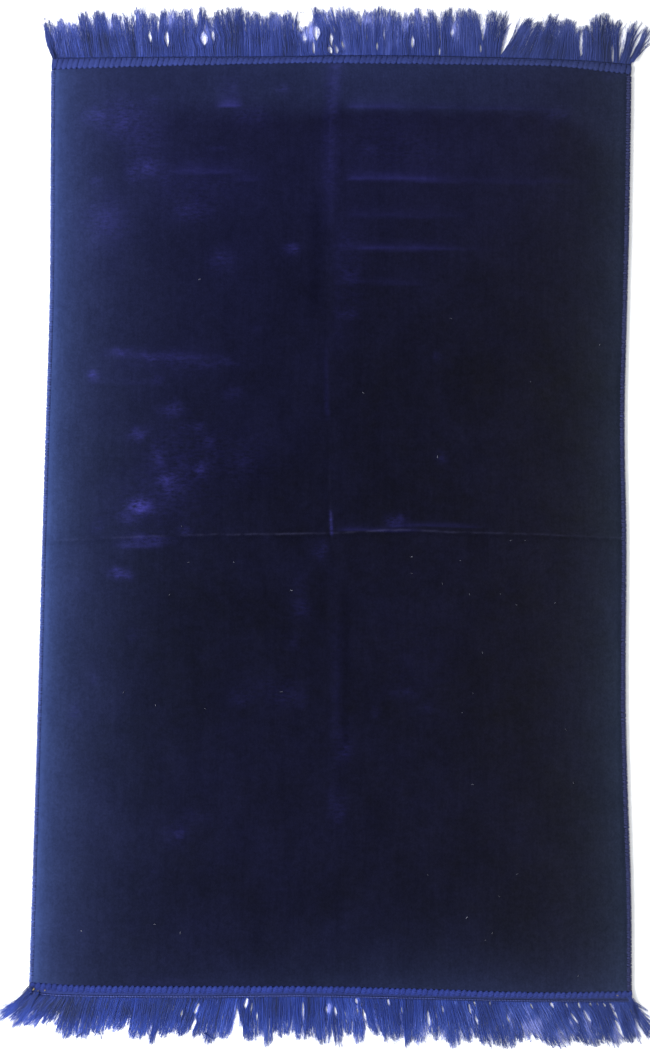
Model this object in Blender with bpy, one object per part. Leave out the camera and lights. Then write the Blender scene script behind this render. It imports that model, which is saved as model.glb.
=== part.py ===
"""A plain velvet prayer rug lying flat, whipped along its sides and fringed at both ends.

Metres, +Z up. The origin is on the underside at the middle of the cloth, +Y runs to the far end
and +X to the right-hand side. The tables are in millimetres and are turned into metres by MM.
"""
import math
from collections import namedtuple

import bmesh
import bpy

MM = 0.001
WELD = 0.00001             # metres: closes a rail's end caps

# Heights above the floor, and widths, in millimetres.
PILE_HEIGHT = 4.2          # ground cloth and upright pile together
PILE_EDGE_HEIGHT = 2.6     # pile pressed down where the whipping grips it
PILE_EDGE_ROLL = 7.0       # how far in from its edge the pile reaches full height
UNEVEN_RISE = 0.25         # how far the pile swells and sinks over the panel
UNEVEN_SPAN = (61.0, 83.0)
PART_GAP = 0.3             # clearance between neighbouring pieces
BINDING_WIDTH = 4.5
BINDING_HEIGHT = 3.4
HEADING_HEIGHT = 3.0
RIB_PITCH = 6.5
RIB_RISE = 0.45            # crest above, and groove below, the heading's mean height
RIB_SLANT = 3.0            # how far a rib leans to the right from its near end to its far end
RIB_SCALLOP = 0.6          # how far a rib's head stands out over the groove beside it
STRIP_WIDTH = 3.0          # the fringe's own tape, beside the heading
STRIP_HEIGHT = 1.7
STRIP_STEP = 15.0          # its bends lie this close together, so it keeps clear of the heading
LOCK_PITCH = 6.0           # one lock to about this much of the tape
LOCK_FILL = 0.88           # share of its pitch that a lock takes up
LOCK_TIP = 0.6             # a lock's width at its tip, as a share of its width at the root
LOCK_WIDEST = 6.0
LOCK_RISE = 0.27           # a lock's height as a share of its width
LOCK_STRAIGHT = 0.06       # share of a lock that leaves the tape squarely, before it leans
ROOT_LIFT = 0.25           # a root's underside above the floor, inside the tape
LOCK_SWAY = 1.6            # how far a lock bows sideways at its middle
SWAY_SPAN = 33.0           # locks this far apart bow unlike each other

# The grid of the pile panel: the places its lines keep to, and the widest step between them.
LEFT, RIGHT = -345.0, 345.0
NEAR, FAR = -552.0, 555.0
FOLD_X, FOLD_Y = -6.0, -20.0
GRID_STEP = 30.0
ROLL_LINES = (0.0, 2.0, PILE_EDGE_ROLL)
FOLD_LINES = (-16.0, -6.0, 0.0, 6.0, 16.0)

Station = namedtuple("Station", "at out")
Brush = namedtuple("Brush", "y x_from x_to rise")
Clump = namedtuple("Clump", "root_to tip_from tip_to reach")


def table(kind, rows):
    """The rows of a table, with its columns named."""
    return [kind(*row) for row in rows]


# The outer edge of each side's whipping: "at" runs along Y and "out" is X.
LEFT_EDGE = table(Station, (
    (-555, -352.0), (-400, -351.0), (-220, -350.0), (-30, -349.5), (120, -348.5),
    (260, -347.5), (360, -349.0), (460, -351.0), (562, -352.5)))
RIGHT_EDGE = table(Station, (
    (-555, 353.5), (-440, 353.0), (-310, 349.0), (-210, 347.0), (-20, 348.0),
    (120, 346.0), (270, 349.5), (370, 352.0), (565, 355.0)))

# The ends of the pile cloth, and the seams where the headings end: "at" is X and "out" is Y.
FAR_PILE = table(Station, (
    (-352, 543.0), (-324, 544.6), (-250, 548.0), (-140, 552.0), (-30, 555.3),
    (150, 555.6), (262, 555.0), (300, 551.7), (335, 547.8), (355, 546.0)))
NEAR_PILE = table(Station, (
    (-352, -550.0), (-298, -553.0), (-200, -553.0), (-20, -551.0), (90, -552.0),
    (195, -554.0), (265, -554.5), (354, -552.0)))
FAR_SEAM = table(Station, (
    (-352, 557.5), (-215, 560.4), (-68, 562.8), (5, 565.0), (115, 565.7),
    (225, 564.0), (300, 562.0), (355, 558.0)))
NEAR_SEAM = table(Station, (
    (-352, -562.5), (-315, -565.6), (-150, -565.2), (-30, -562.5), (83, -563.6),
    (225, -565.0), (354, -564.0)))

# The two creases left by folding in quarters. The one across is parted to the ground cloth, the
# one along is sharp only in the far half.
FOLD_ACROSS = table(Station, (
    (-352, -33.0), (-269, -28.0), (-161, -23.0), (-6, -19.0), (78, -14.0),
    (138, -16.0), (221, -17.0), (355, -21.0)))
FOLD_ALONG = table(Station, (
    (-555, 14.0), (-380, 13.0), (-217, 10.0), (-70, 7.0), (-19, -6.0),
    (81, -8.0), (202, -12.0), (386, -13.0), (497, -11.0), (560, -6.0)))
FOLD_DEPTH = 1.3
FOLD_HALF_WIDTH = 4.0
FOLD_SHOULDER = 0.5
FOLD_SHOULDER_AT = 12.0

# Soft ridges across the pile where it was pressed in storage: height at the middle, in millimetres.
BRUSHED = table(Brush, (
    (501, -5, 175, 0.7), (414, -5, 200, 0.8), (368, -5, 160, 0.5),
    (326, -5, 200, 0.7), (282, -5, 120, 0.5), (488, -320, -100, 0.5),
    (419, -225, -100, 0.5), (194, -260, -120, 0.5), (12, -262, -205, 0.6),
    (-70, -285, -225, 0.5), (-123, -90, -20, 0.5)))
BRUSH_HALF_WIDTH = 9.0
BRUSH_ENDS = 30.0

# The fringe's clumps from left to right. Each starts on the tape where the last one ended, and runs
# to root_to; its tips lie from tip_from to tip_to, reach beyond the seam.
FAR_FRINGE_FROM = -352.0
FAR_FRINGE = table(Clump, (
    (-343, -364, -351, 46), (-328, -350, -336, 52), (-313, -335, -324, 47),
    (-299, -322, -308, 58), (-274, -302, -290, 58), (-260, -282, -272, 57),
    (-249, -270, -253, 56), (-236, -252, -241, 61), (-223, -239, -226, 57),
    (-206, -222, -210, 58), (-192, -209, -199, 61), (-177, -196, -179, 60),
    (-164, -176, -168, 61), (-152, -166, -158, 53), (-108, -157, -110, 60),
    (-91, -109, -96, 55), (-50, -93, -54, 56), (-35, -50, -36, 38),
    (-10, -34, -21, 59), (26, -20, 22, 60), (76, 26, 75, 59),
    (90, 76, 88, 53), (102, 89, 98, 60), (121, 100, 117, 57),
    (141, 125, 140, 58), (175, 141, 171, 60), (197, 175, 209, 59),
    (218, 221, 234, 50), (239, 235, 250, 45), (259, 251, 268, 55),
    (285, 269, 286, 50), (305, 288, 306, 44), (335, 307, 339, 58),
    (343, 340, 348, 53), (350, 350, 366, 53), (355, 367, 381, 49)))
NEAR_FRINGE_FROM = -354.0
NEAR_FRINGE = table(Clump, (
    (-346, -392, -378, 33), (-335, -377, -362, 38), (-320, -361, -342, 37),
    (-308, -338, -324, 34), (-289, -322, -302, 48), (-271, -300, -281, 48),
    (-254, -279, -265, 43), (-231, -264, -238, 39), (-207, -237, -213, 48),
    (-196, -212, -205, 54), (-170, -204, -181, 45), (-156, -179, -167, 46),
    (-140, -164, -148, 47), (-126, -147, -134, 52), (-107, -128, -114, 49),
    (-79, -105, -79, 49), (-67, -78, -69, 56), (-44, -68, -44, 45),
    (-20, -43, -20, 49), (1, -19, 3, 53), (10, 6, 16, 55),
    (22, 18, 28, 44), (36, 29, 44, 52), (50, 47, 58, 42),
    (83, 59, 88, 50), (95, 89, 96, 55), (111, 97, 112, 51),
    (125, 115, 132, 46), (144, 135, 154, 54), (165, 156, 174, 46),
    (214, 176, 231, 53), (226, 234, 246, 44), (266, 248, 287, 51),
    (306, 288, 324, 49), (324, 325, 344, 51), (343, 347, 364, 46),
    (356, 365, 382, 47)))
UNEVEN_TIPS = 0.05         # how much neighbouring locks differ in length, as a share

PILE_NAVY = (0.010, 0.011, 0.040)
WHIPPING_BLUE = (0.035, 0.055, 0.280)
HEADING_BLUE = (0.030, 0.048, 0.240)
FRINGE_BLUE = (0.038, 0.060, 0.250)


def slope(rows, index):
    """How steeply a table's curve runs at one of its rows."""
    before = rows[max(index - 1, 0)]
    after = rows[min(index + 1, len(rows) - 1)]
    return (after.out - before.out) / (after.at - before.at)


def smooth_read(rows, at):
    """A table's "out" at any place along it, on one smooth curve through its rows."""
    at = min(max(at, rows[0].at), rows[-1].at)
    index = 0
    while index < len(rows) - 2 and at > rows[index + 1].at:
        index += 1
    here, there = rows[index], rows[index + 1]
    run = there.at - here.at
    t = (at - here.at) / run
    ends = here.out + (3.0 - 2.0 * t) * t * t * (there.out - here.out)
    leave = t * (1.0 - t) ** 2 * run * slope(rows, index)
    arrive = t * t * (1.0 - t) * run * slope(rows, index + 1)
    return ends + leave - arrive


def follow(place, marks):
    """A place on the plain grid, moved as the marks on either side of it are moved."""
    for (here, here_to), (there, there_to) in zip(marks, marks[1:]):
        if place <= there or (there, there_to) == marks[-1]:
            share = (place - here) / (there - here)
            return here_to + share * (there_to - here_to)


def bump(distance, half_width):
    """1 on a line, falling softly to nothing on both sides of it."""
    return math.exp(-(distance / half_width) ** 2)


def ramp(value, start, end):
    """0 before start and 1 after end, with a soft step between."""
    t = min(max((value - start) / (end - start), 0.0), 1.0)
    return t * t * (3.0 - 2.0 * t)


def crease(distance, strength):
    """A crease in the pile: a narrow parting with a low shoulder on each side."""
    parting = -FOLD_DEPTH * bump(distance, FOLD_HALF_WIDTH)
    shoulder = FOLD_SHOULDER * bump(abs(distance) - FOLD_SHOULDER_AT, FOLD_SHOULDER_AT / 2)
    return strength * (parting + shoulder)


def brush_marks(x, y):
    """The height that the storage ridges add to the pile at one place."""
    height = 0.0
    for mark in BRUSHED:
        inside = ramp(x, mark.x_from, mark.x_from + BRUSH_ENDS)
        inside *= 1.0 - ramp(x, mark.x_to - BRUSH_ENDS, mark.x_to)
        height += mark.rise * inside * bump(y - mark.y, BRUSH_HALF_WIDTH)
    return height


def pile_top(x, y, from_edge):
    """The pile's height at a place that lies from_edge inside the cloth's nearest edge."""
    far_half = ramp(y, -40.0, 0.0)
    swell = math.sin(x / UNEVEN_SPAN[0] + 1.0) * math.cos(y / UNEVEN_SPAN[1])
    height = PILE_HEIGHT + UNEVEN_RISE * swell
    height += crease(y - smooth_read(FOLD_ACROSS, x), 1.0)
    height += crease(x - smooth_read(FOLD_ALONG, y), 0.35 + 0.65 * far_half)
    height += brush_marks(x, y)
    rolled = ramp(from_edge, -3.0, PILE_EDGE_ROLL)
    return PILE_EDGE_HEIGHT + (height - PILE_EDGE_HEIGHT) * rolled


def spaced(fixed, widest):
    """Places from the first fixed one to the last, through them all, widest apart at most."""
    places = []
    for here, there in zip(fixed, fixed[1:]):
        steps = max(1, math.ceil((there - here) / widest))
        places += [here + (there - here) * step / steps for step in range(steps)]
    return places + [fixed[-1]]


def new_collection(name):
    collection = bpy.data.collections.new(name)
    bpy.context.scene.collection.children.link(collection)
    return collection


def cloth_material(name, colour, roughness, sheen):
    """A matt fabric finish: metallic 0, with a soft sheen."""
    material = bpy.data.materials.new(name)
    material.use_nodes = True
    shader = material.node_tree.nodes["Principled BSDF"]
    shader.inputs["Base Color"].default_value = (*colour, 1.0)
    shader.inputs["Roughness"].default_value = roughness
    shader.inputs["Metallic"].default_value = 0.0
    shader.inputs["Sheen Weight"].default_value = sheen
    material.diffuse_color = (*colour, 1.0)
    return material


def add_object(name, mesh, material, collection):
    mesh.materials.clear()
    mesh.materials.append(material)
    piece = bpy.data.objects.new(name, mesh)
    collection.objects.link(piece)
    return piece


def mesh_from(bm, name):
    """A finished mesh in metres from a bmesh that was worked in millimetres."""
    bmesh.ops.recalc_face_normals(bm, faces=bm.faces[:])
    bmesh.ops.scale(bm, vec=(MM, MM, MM), verts=bm.verts[:])
    mesh = bpy.data.meshes.new(name)
    bm.to_mesh(mesh)
    bm.free()
    return mesh


def lay_grid(columns, rows, place):
    """A grid whose corner at each column and row is put where place says."""
    bm = bmesh.new()
    bmesh.ops.create_grid(bm, x_segments=columns - 1, y_segments=rows - 1, size=1.0)
    for vert in bm.verts:
        column = round((vert.co.x + 1.0) / 2.0 * (columns - 1))
        row = round((vert.co.y + 1.0) / 2.0 * (rows - 1))
        vert.co = place(column, row)
    return bm


def close_down_to_floor(bm, kept):
    """Turns an open sheet into a solid with a flat underside on the floor.

    The underside has few faces: of its inner lines, only those along axis kept (0 or 1) stay.
    """
    made = bmesh.ops.extrude_face_region(bm, geom=bm.faces[:], use_keep_orig=True)["geom"]
    for vert in (item for item in made if isinstance(item, bmesh.types.BMVert)):
        vert.co.z = 0.0
    under = {item for item in made if isinstance(item, bmesh.types.BMFace)}
    under = {face for face in under if all(vert.co.z == 0.0 for vert in face.verts)}
    spare = []
    for edge in bm.edges:
        run = edge.verts[1].co - edge.verts[0].co
        inside = len(edge.link_faces) == 2 and all(face in under for face in edge.link_faces)
        if inside and abs(run[1 - kept]) > abs(run[kept]):
            spare.append(edge)
    bmesh.ops.dissolve_edges(bm, edges=spare, use_verts=True)


def build_pile_panel(collection):
    """The velvet panel: uneven outline, rolled edges, two fold creases and soft storage ridges."""
    sides = [LEFT + inset for inset in ROLL_LINES]
    sides += [FOLD_X + offset for offset in FOLD_LINES]
    sides += [RIGHT - inset for inset in reversed(ROLL_LINES)]
    ends = {NEAR + inset for inset in ROLL_LINES}
    ends |= {FOLD_Y + offset for offset in FOLD_LINES}
    ends |= {FAR - inset for inset in ROLL_LINES}
    columns = spaced(sides, GRID_STEP)
    rows = spaced(sorted(ends), GRID_STEP)
    inset = BINDING_WIDTH + PART_GAP

    def place(column, row):
        x, y = columns[column], rows[row]
        from_edge = min(x - LEFT, RIGHT - x, y - NEAR, FAR - y)
        x = follow(x, ((LEFT, smooth_read(LEFT_EDGE, y) + inset),
                       (FOLD_X, smooth_read(FOLD_ALONG, y)),
                       (RIGHT, smooth_read(RIGHT_EDGE, y) - inset)))
        y = follow(y, ((NEAR, smooth_read(NEAR_PILE, x)),
                       (FOLD_Y, smooth_read(FOLD_ACROSS, x)),
                       (FAR, smooth_read(FAR_PILE, x))))
        return x, y, pile_top(x, y, from_edge)

    bm = lay_grid(len(columns), len(rows), place)
    close_down_to_floor(bm, kept=0)
    mesh = mesh_from(bm, "pile_panel")
    mesh.shade_smooth()
    mesh.set_sharp_from_angle(angle=math.radians(40.0))
    add_object("pile_panel", mesh, cloth_material("pile_velvet", PILE_NAVY, 0.9, 0.6), collection)


def profile_guide(name, corners, collection):
    """A closed outline that a rail is drawn along: its flat side is the corners at height 0."""
    curve = bpy.data.curves.new(name, "CURVE")
    curve.dimensions = "2D"
    spline = curve.splines.new("POLY")
    spline.points.add(len(corners) - 1)
    for point, (across, up) in zip(spline.points, corners):
        point.co = (across * MM, up * MM, 0.0, 1.0)
    spline.use_cyclic_u = True
    guide = bpy.data.objects.new(name, curve)
    guide.hide_render = True
    guide.display_type = "WIRE"
    collection.objects.link(guide)
    return guide


def rails_mesh(name, paths, guide):
    """The solid bars drawn by an outline along paths of (x, y, z, scale), each closed at its ends."""
    curve = bpy.data.curves.new(name, "CURVE")
    curve.dimensions = "3D"
    curve.twist_mode = "Z_UP"
    curve.bevel_mode = "OBJECT"
    curve.bevel_object = guide
    curve.use_fill_caps = True
    for path in paths:
        spline = curve.splines.new("POLY")
        spline.points.add(len(path) - 1)
        for point, (x, y, z, scale) in zip(spline.points, path):
            point.co = (x * MM, y * MM, z * MM, 1.0)
            point.radius = scale
    rail = bpy.data.objects.new(name, curve)
    bpy.context.scene.collection.objects.link(rail)
    depsgraph = bpy.context.evaluated_depsgraph_get()
    mesh = bpy.data.meshes.new_from_object(rail.evaluated_get(depsgraph))
    mesh.name = name
    bm = bmesh.new()
    bm.from_mesh(mesh)
    bmesh.ops.remove_doubles(bm, verts=bm.verts[:], dist=WELD)
    bmesh.ops.recalc_face_normals(bm, faces=bm.faces[:])
    bm.to_mesh(mesh)
    bm.free()
    bpy.data.objects.remove(rail)
    return mesh


def build_binding(name, edge, inward, guide, collection):
    """One long side's whipping: a low rounded bar that follows the cloth's uneven edge."""
    middle = inward * BINDING_WIDTH / 2.0
    end_x = edge[0].out + middle
    start = smooth_read(NEAR_PILE, end_x)
    stop = smooth_read(FAR_PILE, edge[-1].out + middle)
    stations = spaced((start, stop), 48.0)
    path = [(smooth_read(edge, y) + middle, y, 0.0, 1.0) for y in stations]
    mesh = rails_mesh(name, [path], guide)
    mesh.shade_smooth()
    mesh.set_sharp_from_angle(angle=math.radians(50.0))
    material = cloth_material(name + "_yarn", WHIPPING_BLUE, 0.85, 0.3)
    add_object(name, mesh, material, collection)


def build_heading(name, pile, seam, collection):
    """One end's whipping: a low band of slanted ribs, whose heads scallop over the pile."""
    outward = 1.0 if seam[0].out > 0.0 else -1.0
    left, right = seam[0].at, seam[-1].at
    ribs = round((right - left) / RIB_PITCH)
    # Across the band, from the pile side to the seam: share of the way, and share of the height.
    profile = ((0.0, 0.55), (0.28, 1.0), (0.75, 0.85), (1.0, 0.4))

    def place(column, row):
        share, high = profile[row if outward > 0.0 else len(profile) - 1 - row]
        crest = 1.0 if column % 2 else -1.0
        lean = RIB_SLANT * outward * (share - 0.5)
        within = 0.0 if column in (0, 2 * ribs) else lean
        x = left + (right - left) * column / (2 * ribs) + within
        pile_side = smooth_read(pile, x) + outward * PART_GAP
        if crest < 0.0 and share == 0.0:
            pile_side += outward * RIB_SCALLOP
        y = pile_side + share * (smooth_read(seam, x) - pile_side)
        return x, y, HEADING_HEIGHT * high + crest * RIB_RISE * high

    bm = lay_grid(2 * ribs + 1, len(profile), place)
    close_down_to_floor(bm, kept=1)
    material = cloth_material(name + "_yarn", HEADING_BLUE, 0.85, 0.3)
    add_object(name, mesh_from(bm, name), material, collection)


def lock_paths(clumps, start, seam):
    """The centre line of every lock of a fringe, fanned and gathered as its clumps are."""
    outward = 1.0 if seam[0].out > 0.0 else -1.0
    locks = []
    root_from = start
    for clump in clumps:
        root_width = clump.root_to - root_from
        tip_width = clump.tip_to - clump.tip_from
        count = max(1, round(max(root_width, 0.7 * tip_width) / LOCK_PITCH))
        for number in range(count):
            share = (number + 0.5) / count
            uneven = 1.0 - UNEVEN_TIPS * (1.0 + math.sin(2.4 * len(locks)))
            locks.append((root_from + share * root_width,
                          clump.tip_from + share * tip_width,
                          clump.reach * uneven,
                          root_width / count, tip_width / count))
        root_from = clump.root_to
    paths = []
    for root, tip, reach, root_pitch, tip_pitch in locks:
        base = smooth_read(seam, root) + outward * (PART_GAP + STRIP_WIDTH / 2.0)
        length = reach - STRIP_WIDTH / 2.0
        lean = math.cos(math.atan2(tip - root, length))
        path = []
        sway = LOCK_SWAY * math.sin(root / SWAY_SPAN)
        for share, lift in ((0.0, ROOT_LIFT), (LOCK_STRAIGHT, 0.0), (0.5, 0.0), (1.0, 0.0)):
            leaned = max(0.0, share - LOCK_STRAIGHT) / (1.0 - LOCK_STRAIGHT)
            pitch = root_pitch + leaned * (tip_pitch - root_pitch)
            taper = 1.0 + share * (LOCK_TIP - 1.0)
            width = min(LOCK_FILL * pitch * lean, LOCK_WIDEST * taper)
            bow = 4.0 * leaned * (1.0 - leaned)
            path.append((root + (tip - root) * leaned + sway * bow,
                         base + outward * length * share, lift, width))
        paths.append(path)
    return paths


def build_fringe(name, clumps, start, seam, lock_guide, strip_guide, collection, cutters):
    """One end's fringe: three-sided locks lying on the floor, their roots joined to a narrow tape."""
    outward = 1.0 if seam[0].out > 0.0 else -1.0
    middle = outward * (PART_GAP + STRIP_WIDTH / 2.0)
    stations = spaced((seam[0].at, seam[-1].at), STRIP_STEP)
    tape = [(x, smooth_read(seam, x) + middle, 0.0, 1.0) for x in stations]
    material = cloth_material(name + "_yarn", FRINGE_BLUE, 0.85, 0.3)
    strip = add_object(name, rails_mesh(name, [tape], strip_guide), material, collection)
    locks = add_object(name + "_locks",
                       rails_mesh(name + "_locks", lock_paths(clumps, start, seam), lock_guide),
                       material, cutters)
    locks.hide_render = True
    locks.display_type = "WIRE"
    join = strip.modifiers.new("root the locks", "BOOLEAN")
    join.operation = "UNION"
    join.solver = "EXACT"
    join.object = locks


def main():
    for old in list(bpy.data.objects):
        bpy.data.objects.remove(old)
    rug = new_collection("prayer_rug")
    guides = new_collection("guides")
    half = BINDING_WIDTH / 2.0
    binding_guide = profile_guide("binding_outline", (
        (-half, 0.0), (half, 0.0), (half, 0.45 * BINDING_HEIGHT), (0.62 * half, 0.88 * BINDING_HEIGHT),
        (0.0, BINDING_HEIGHT), (-0.62 * half, 0.88 * BINDING_HEIGHT), (-half, 0.45 * BINDING_HEIGHT)),
        guides)
    half = STRIP_WIDTH / 2.0
    strip_guide = profile_guide("strip_outline", (
        (-half, 0.0), (half, 0.0), (half, STRIP_HEIGHT), (-half, STRIP_HEIGHT)), guides)
    lock_guide = profile_guide("lock_outline", ((-0.5, 0.0), (0.5, 0.0), (0.0, LOCK_RISE)), guides)
    build_pile_panel(rug)
    build_binding("binding_left", LEFT_EDGE, 1.0, binding_guide, rug)
    build_binding("binding_right", RIGHT_EDGE, -1.0, binding_guide, rug)
    build_heading("heading_far", FAR_PILE, FAR_SEAM, rug)
    build_heading("heading_near", NEAR_PILE, NEAR_SEAM, rug)
    build_fringe("fringe_far", FAR_FRINGE, FAR_FRINGE_FROM, FAR_SEAM,
                 lock_guide, strip_guide, rug, guides)
    build_fringe("fringe_near", NEAR_FRINGE, NEAR_FRINGE_FROM, NEAR_SEAM,
                 lock_guide, strip_guide, rug, guides)


main()
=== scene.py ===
# %% [markdown]
# # A plain velvet prayer rug, laid flat on a pale floor
# The rug is one rectangle of dark navy pile cloth. Royal blue yarn is whipped close together along its
# two long sides, a ribbed band of the same yarn binds each short end, and a fringe of fine threads is
# sewn under each band. It was stored folded in quarters, so two creases cross near its middle.
#
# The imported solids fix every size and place. This script dresses them: each solid is hidden, and finer
# pieces that stand on the same lines take its place.

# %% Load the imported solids
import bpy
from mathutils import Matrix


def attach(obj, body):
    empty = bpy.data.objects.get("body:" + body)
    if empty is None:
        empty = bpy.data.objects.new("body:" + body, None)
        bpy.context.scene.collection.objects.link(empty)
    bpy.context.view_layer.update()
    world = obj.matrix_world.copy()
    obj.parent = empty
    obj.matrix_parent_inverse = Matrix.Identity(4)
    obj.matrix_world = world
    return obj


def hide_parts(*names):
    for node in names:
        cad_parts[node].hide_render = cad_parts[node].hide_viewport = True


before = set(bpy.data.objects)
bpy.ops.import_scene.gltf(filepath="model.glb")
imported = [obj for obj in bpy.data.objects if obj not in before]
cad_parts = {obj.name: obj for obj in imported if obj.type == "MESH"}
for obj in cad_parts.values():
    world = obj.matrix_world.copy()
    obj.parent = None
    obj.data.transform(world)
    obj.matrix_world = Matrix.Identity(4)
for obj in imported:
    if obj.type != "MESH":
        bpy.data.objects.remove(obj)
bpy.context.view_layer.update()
print("solids:", sorted(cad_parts))

# %% The tools, and the unit
import math

import bmesh
import bpy
import numpy as np
from mathutils import Matrix, Vector

MM = 0.001                 # the tables are in millimetres, and Blender works in metres

# %% [markdown]
# ## The camera, the light and the floor
# The rug was photographed from straight above with only a small tilt. A camera's place can be guessed
# and nudged, or worked out from the outline of something whose shape is known. Here it was worked out,
# because the rug's own four sides give the tilt, the turn and the distance.
#
# One long soft window on the left lights the cloth. Its light falls off to the right, as it does on the
# real rug. A weak light fills in from the near side, and the pale world fills the shadows. Together they
# make the floor plain white.

# %% Camera
scene = bpy.context.scene
CAMERA_PLACE = (-0.0119, -0.1421, 1.8953)
CAMERA_TILT = 4.03         # degrees away from straight down
CAMERA_TURN = 0.693
CAMERA_LENS = 54.5

camera_data = bpy.data.cameras.new("overhead_camera")
camera_data.lens = CAMERA_LENS
camera = bpy.data.objects.new("overhead_camera", camera_data)
scene.collection.objects.link(camera)
tilt = Matrix.Rotation(math.radians(CAMERA_TILT), 4, "X")
turn = Matrix.Rotation(math.radians(CAMERA_TURN), 4, "Z")
camera.matrix_world = Matrix.Translation(CAMERA_PLACE) @ tilt @ turn
scene.camera = camera
print("camera at", [round(value, 3) for value in camera.location])

# %% World and window light
scene.view_settings.view_transform = "Standard"
world = bpy.data.worlds.new("pale_studio")
scene.world = world
world.use_nodes = True
WORLD_COLOUR = (0.96, 0.975, 1.0, 1.0)
WORLD_STRENGTH = 0.75
LIGHT_COLOUR = (0.97, 0.985, 1.0)
background = world.node_tree.nodes["Background"]
background.inputs["Color"].default_value = WORLD_COLOUR
background.inputs["Strength"].default_value = WORLD_STRENGTH


def window_light(name, place, aim, width, length, watts):
    """A soft rectangle of light at place, facing aim."""
    data = bpy.data.lights.new(name, "AREA")
    data.shape = "RECTANGLE"
    data.size = width
    data.size_y = length
    data.energy = watts
    data.color = LIGHT_COLOUR
    light = bpy.data.objects.new(name, data)
    scene.collection.objects.link(light)
    light.matrix_world = Matrix.Translation(place) @ facing(place, aim)
    return light


def facing(place, aim):
    """The turn that makes a light look from place to aim, with its length kept along Y."""
    back = (Vector(place) - Vector(aim)).normalized()
    side = Vector((0.0, 1.0, 0.0)).cross(back).normalized()
    length = back.cross(side)
    turned = Matrix((side, length, back)).transposed()
    return turned.to_4x4()


RUG_MIDDLE = (0.0, 0.0, 0.0)
window_light("window_left", (-1.05, -0.12, 0.80), RUG_MIDDLE, 0.5, 2.2, 55.0)
window_light("fill_near", (0.15, -1.60, 1.10), RUG_MIDDLE, 1.8, 0.6, 4.0)
print("lights:", [light.name for light in bpy.data.lights])

# %% Floor
FLOOR_HALF_SIZE = 9.0
FLOOR_DROP = 0.0003        # the rug lies this far above the floor, so that the two never flicker
floor_mesh = bpy.data.meshes.new("pale_floor")
bm = bmesh.new()
bmesh.ops.create_grid(bm, x_segments=8, y_segments=8, size=FLOOR_HALF_SIZE)
bmesh.ops.translate(bm, verts=bm.verts[:], vec=(0.0, 0.0, -FLOOR_DROP))
bm.to_mesh(floor_mesh)
bm.free()
floor = bpy.data.objects.new("pale_floor", floor_mesh)
scene.collection.objects.link(floor)
floor_material = bpy.data.materials.new("pale_floor")
floor_material.use_nodes = True
floor_shader = floor_material.node_tree.nodes["Principled BSDF"]
floor_shader.inputs["Base Color"].default_value = (0.93, 0.935, 0.94, 1.0)
floor_shader.inputs["Roughness"].default_value = 0.9
floor_shader.inputs["Specular IOR Level"].default_value = 0.1
floor_mesh.materials.append(floor_material)
print("floor:", len(floor_mesh.polygons), "faces")

# %% [markdown]
# ## The lines that the rug follows
# No edge of a soft rug is straight. The outline could be drawn as a curve object, but then the cloth, the
# whipping and the fringe would each have to find it again. A short table of places, read on one smooth
# curve, serves them all, so that each piece starts exactly where its neighbour ends.

# %% Outline and crease tables, in millimetres
# The outer edges of the side whipping: Y, and X there.
LEFT_EDGE = (
    (-555, -352.0), (-400, -351.0), (-220, -350.0), (-30, -349.5), (120, -348.5),
    (260, -347.5), (360, -349.0), (460, -351.0), (562, -352.5))
RIGHT_EDGE = (
    (-555, 353.5), (-440, 353.0), (-310, 349.0), (-210, 347.0), (-20, 348.0),
    (120, 346.0), (270, 349.5), (370, 352.0), (565, 355.0))
# The ends of the pile cloth, and the seams outside them: X, and Y there.
FAR_PILE = (
    (-352, 543.0), (-324, 544.6), (-250, 548.0), (-140, 552.0), (-30, 555.3),
    (150, 555.6), (262, 555.0), (300, 551.7), (335, 547.8), (355, 546.0))
NEAR_PILE = (
    (-352, -550.0), (-298, -553.0), (-200, -553.0), (-20, -551.0), (90, -552.0),
    (195, -554.0), (265, -554.5), (354, -552.0))
FAR_SEAM = (
    (-352, 557.5), (-215, 560.4), (-68, 562.8), (5, 565.0), (115, 565.7),
    (225, 564.0), (300, 562.0), (355, 558.0))
NEAR_SEAM = (
    (-352, -562.5), (-315, -565.6), (-150, -565.2), (-30, -562.5), (83, -563.6),
    (225, -565.0), (354, -564.0))
# The storage creases: one across the rug and one along it.
FOLD_ACROSS = (
    (-352, -33.0), (-269, -28.0), (-161, -23.0), (-6, -19.0), (78, -14.0),
    (138, -16.0), (221, -17.0), (355, -21.0))
FOLD_ALONG = (
    (-555, 14.0), (-380, 13.0), (-217, 10.0), (-70, 7.0), (-19, -6.0),
    (81, -8.0), (202, -12.0), (386, -13.0), (497, -11.0), (560, -6.0))


def smooth_read(rows, at):
    """Reads a table at many places at once, on one smooth curve through its rows."""
    places, values = np.array(rows, float).T
    last = len(places) - 1
    before = np.maximum(np.arange(last + 1) - 1, 0)
    after = np.minimum(np.arange(last + 1) + 1, last)
    slopes = (values[after] - values[before]) / (places[after] - places[before])
    at = np.clip(at, places[0], places[-1])
    here = np.clip(np.searchsorted(places, at) - 1, 0, last - 1)
    run = places[here + 1] - places[here]
    t = (at - places[here]) / run
    ends = values[here] + (3.0 - 2.0 * t) * t * t * (values[here + 1] - values[here])
    leave = t * (1.0 - t) ** 2 * run * slopes[here]
    arrive = t * t * (1.0 - t) * run * slopes[here + 1]
    return ends + leave - arrive


print("width at the middle:", float(smooth_read(RIGHT_EDGE, 0.0) - smooth_read(LEFT_EDGE, 0.0)), "mm")

# %% Soft steps, humps and hills
def ramp(value, start, end):
    """0 before start and 1 after end, with a soft step between."""
    t = np.clip((value - start) / (end - start), 0.0, 1.0)
    return t * t * (3.0 - 2.0 * t)


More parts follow.
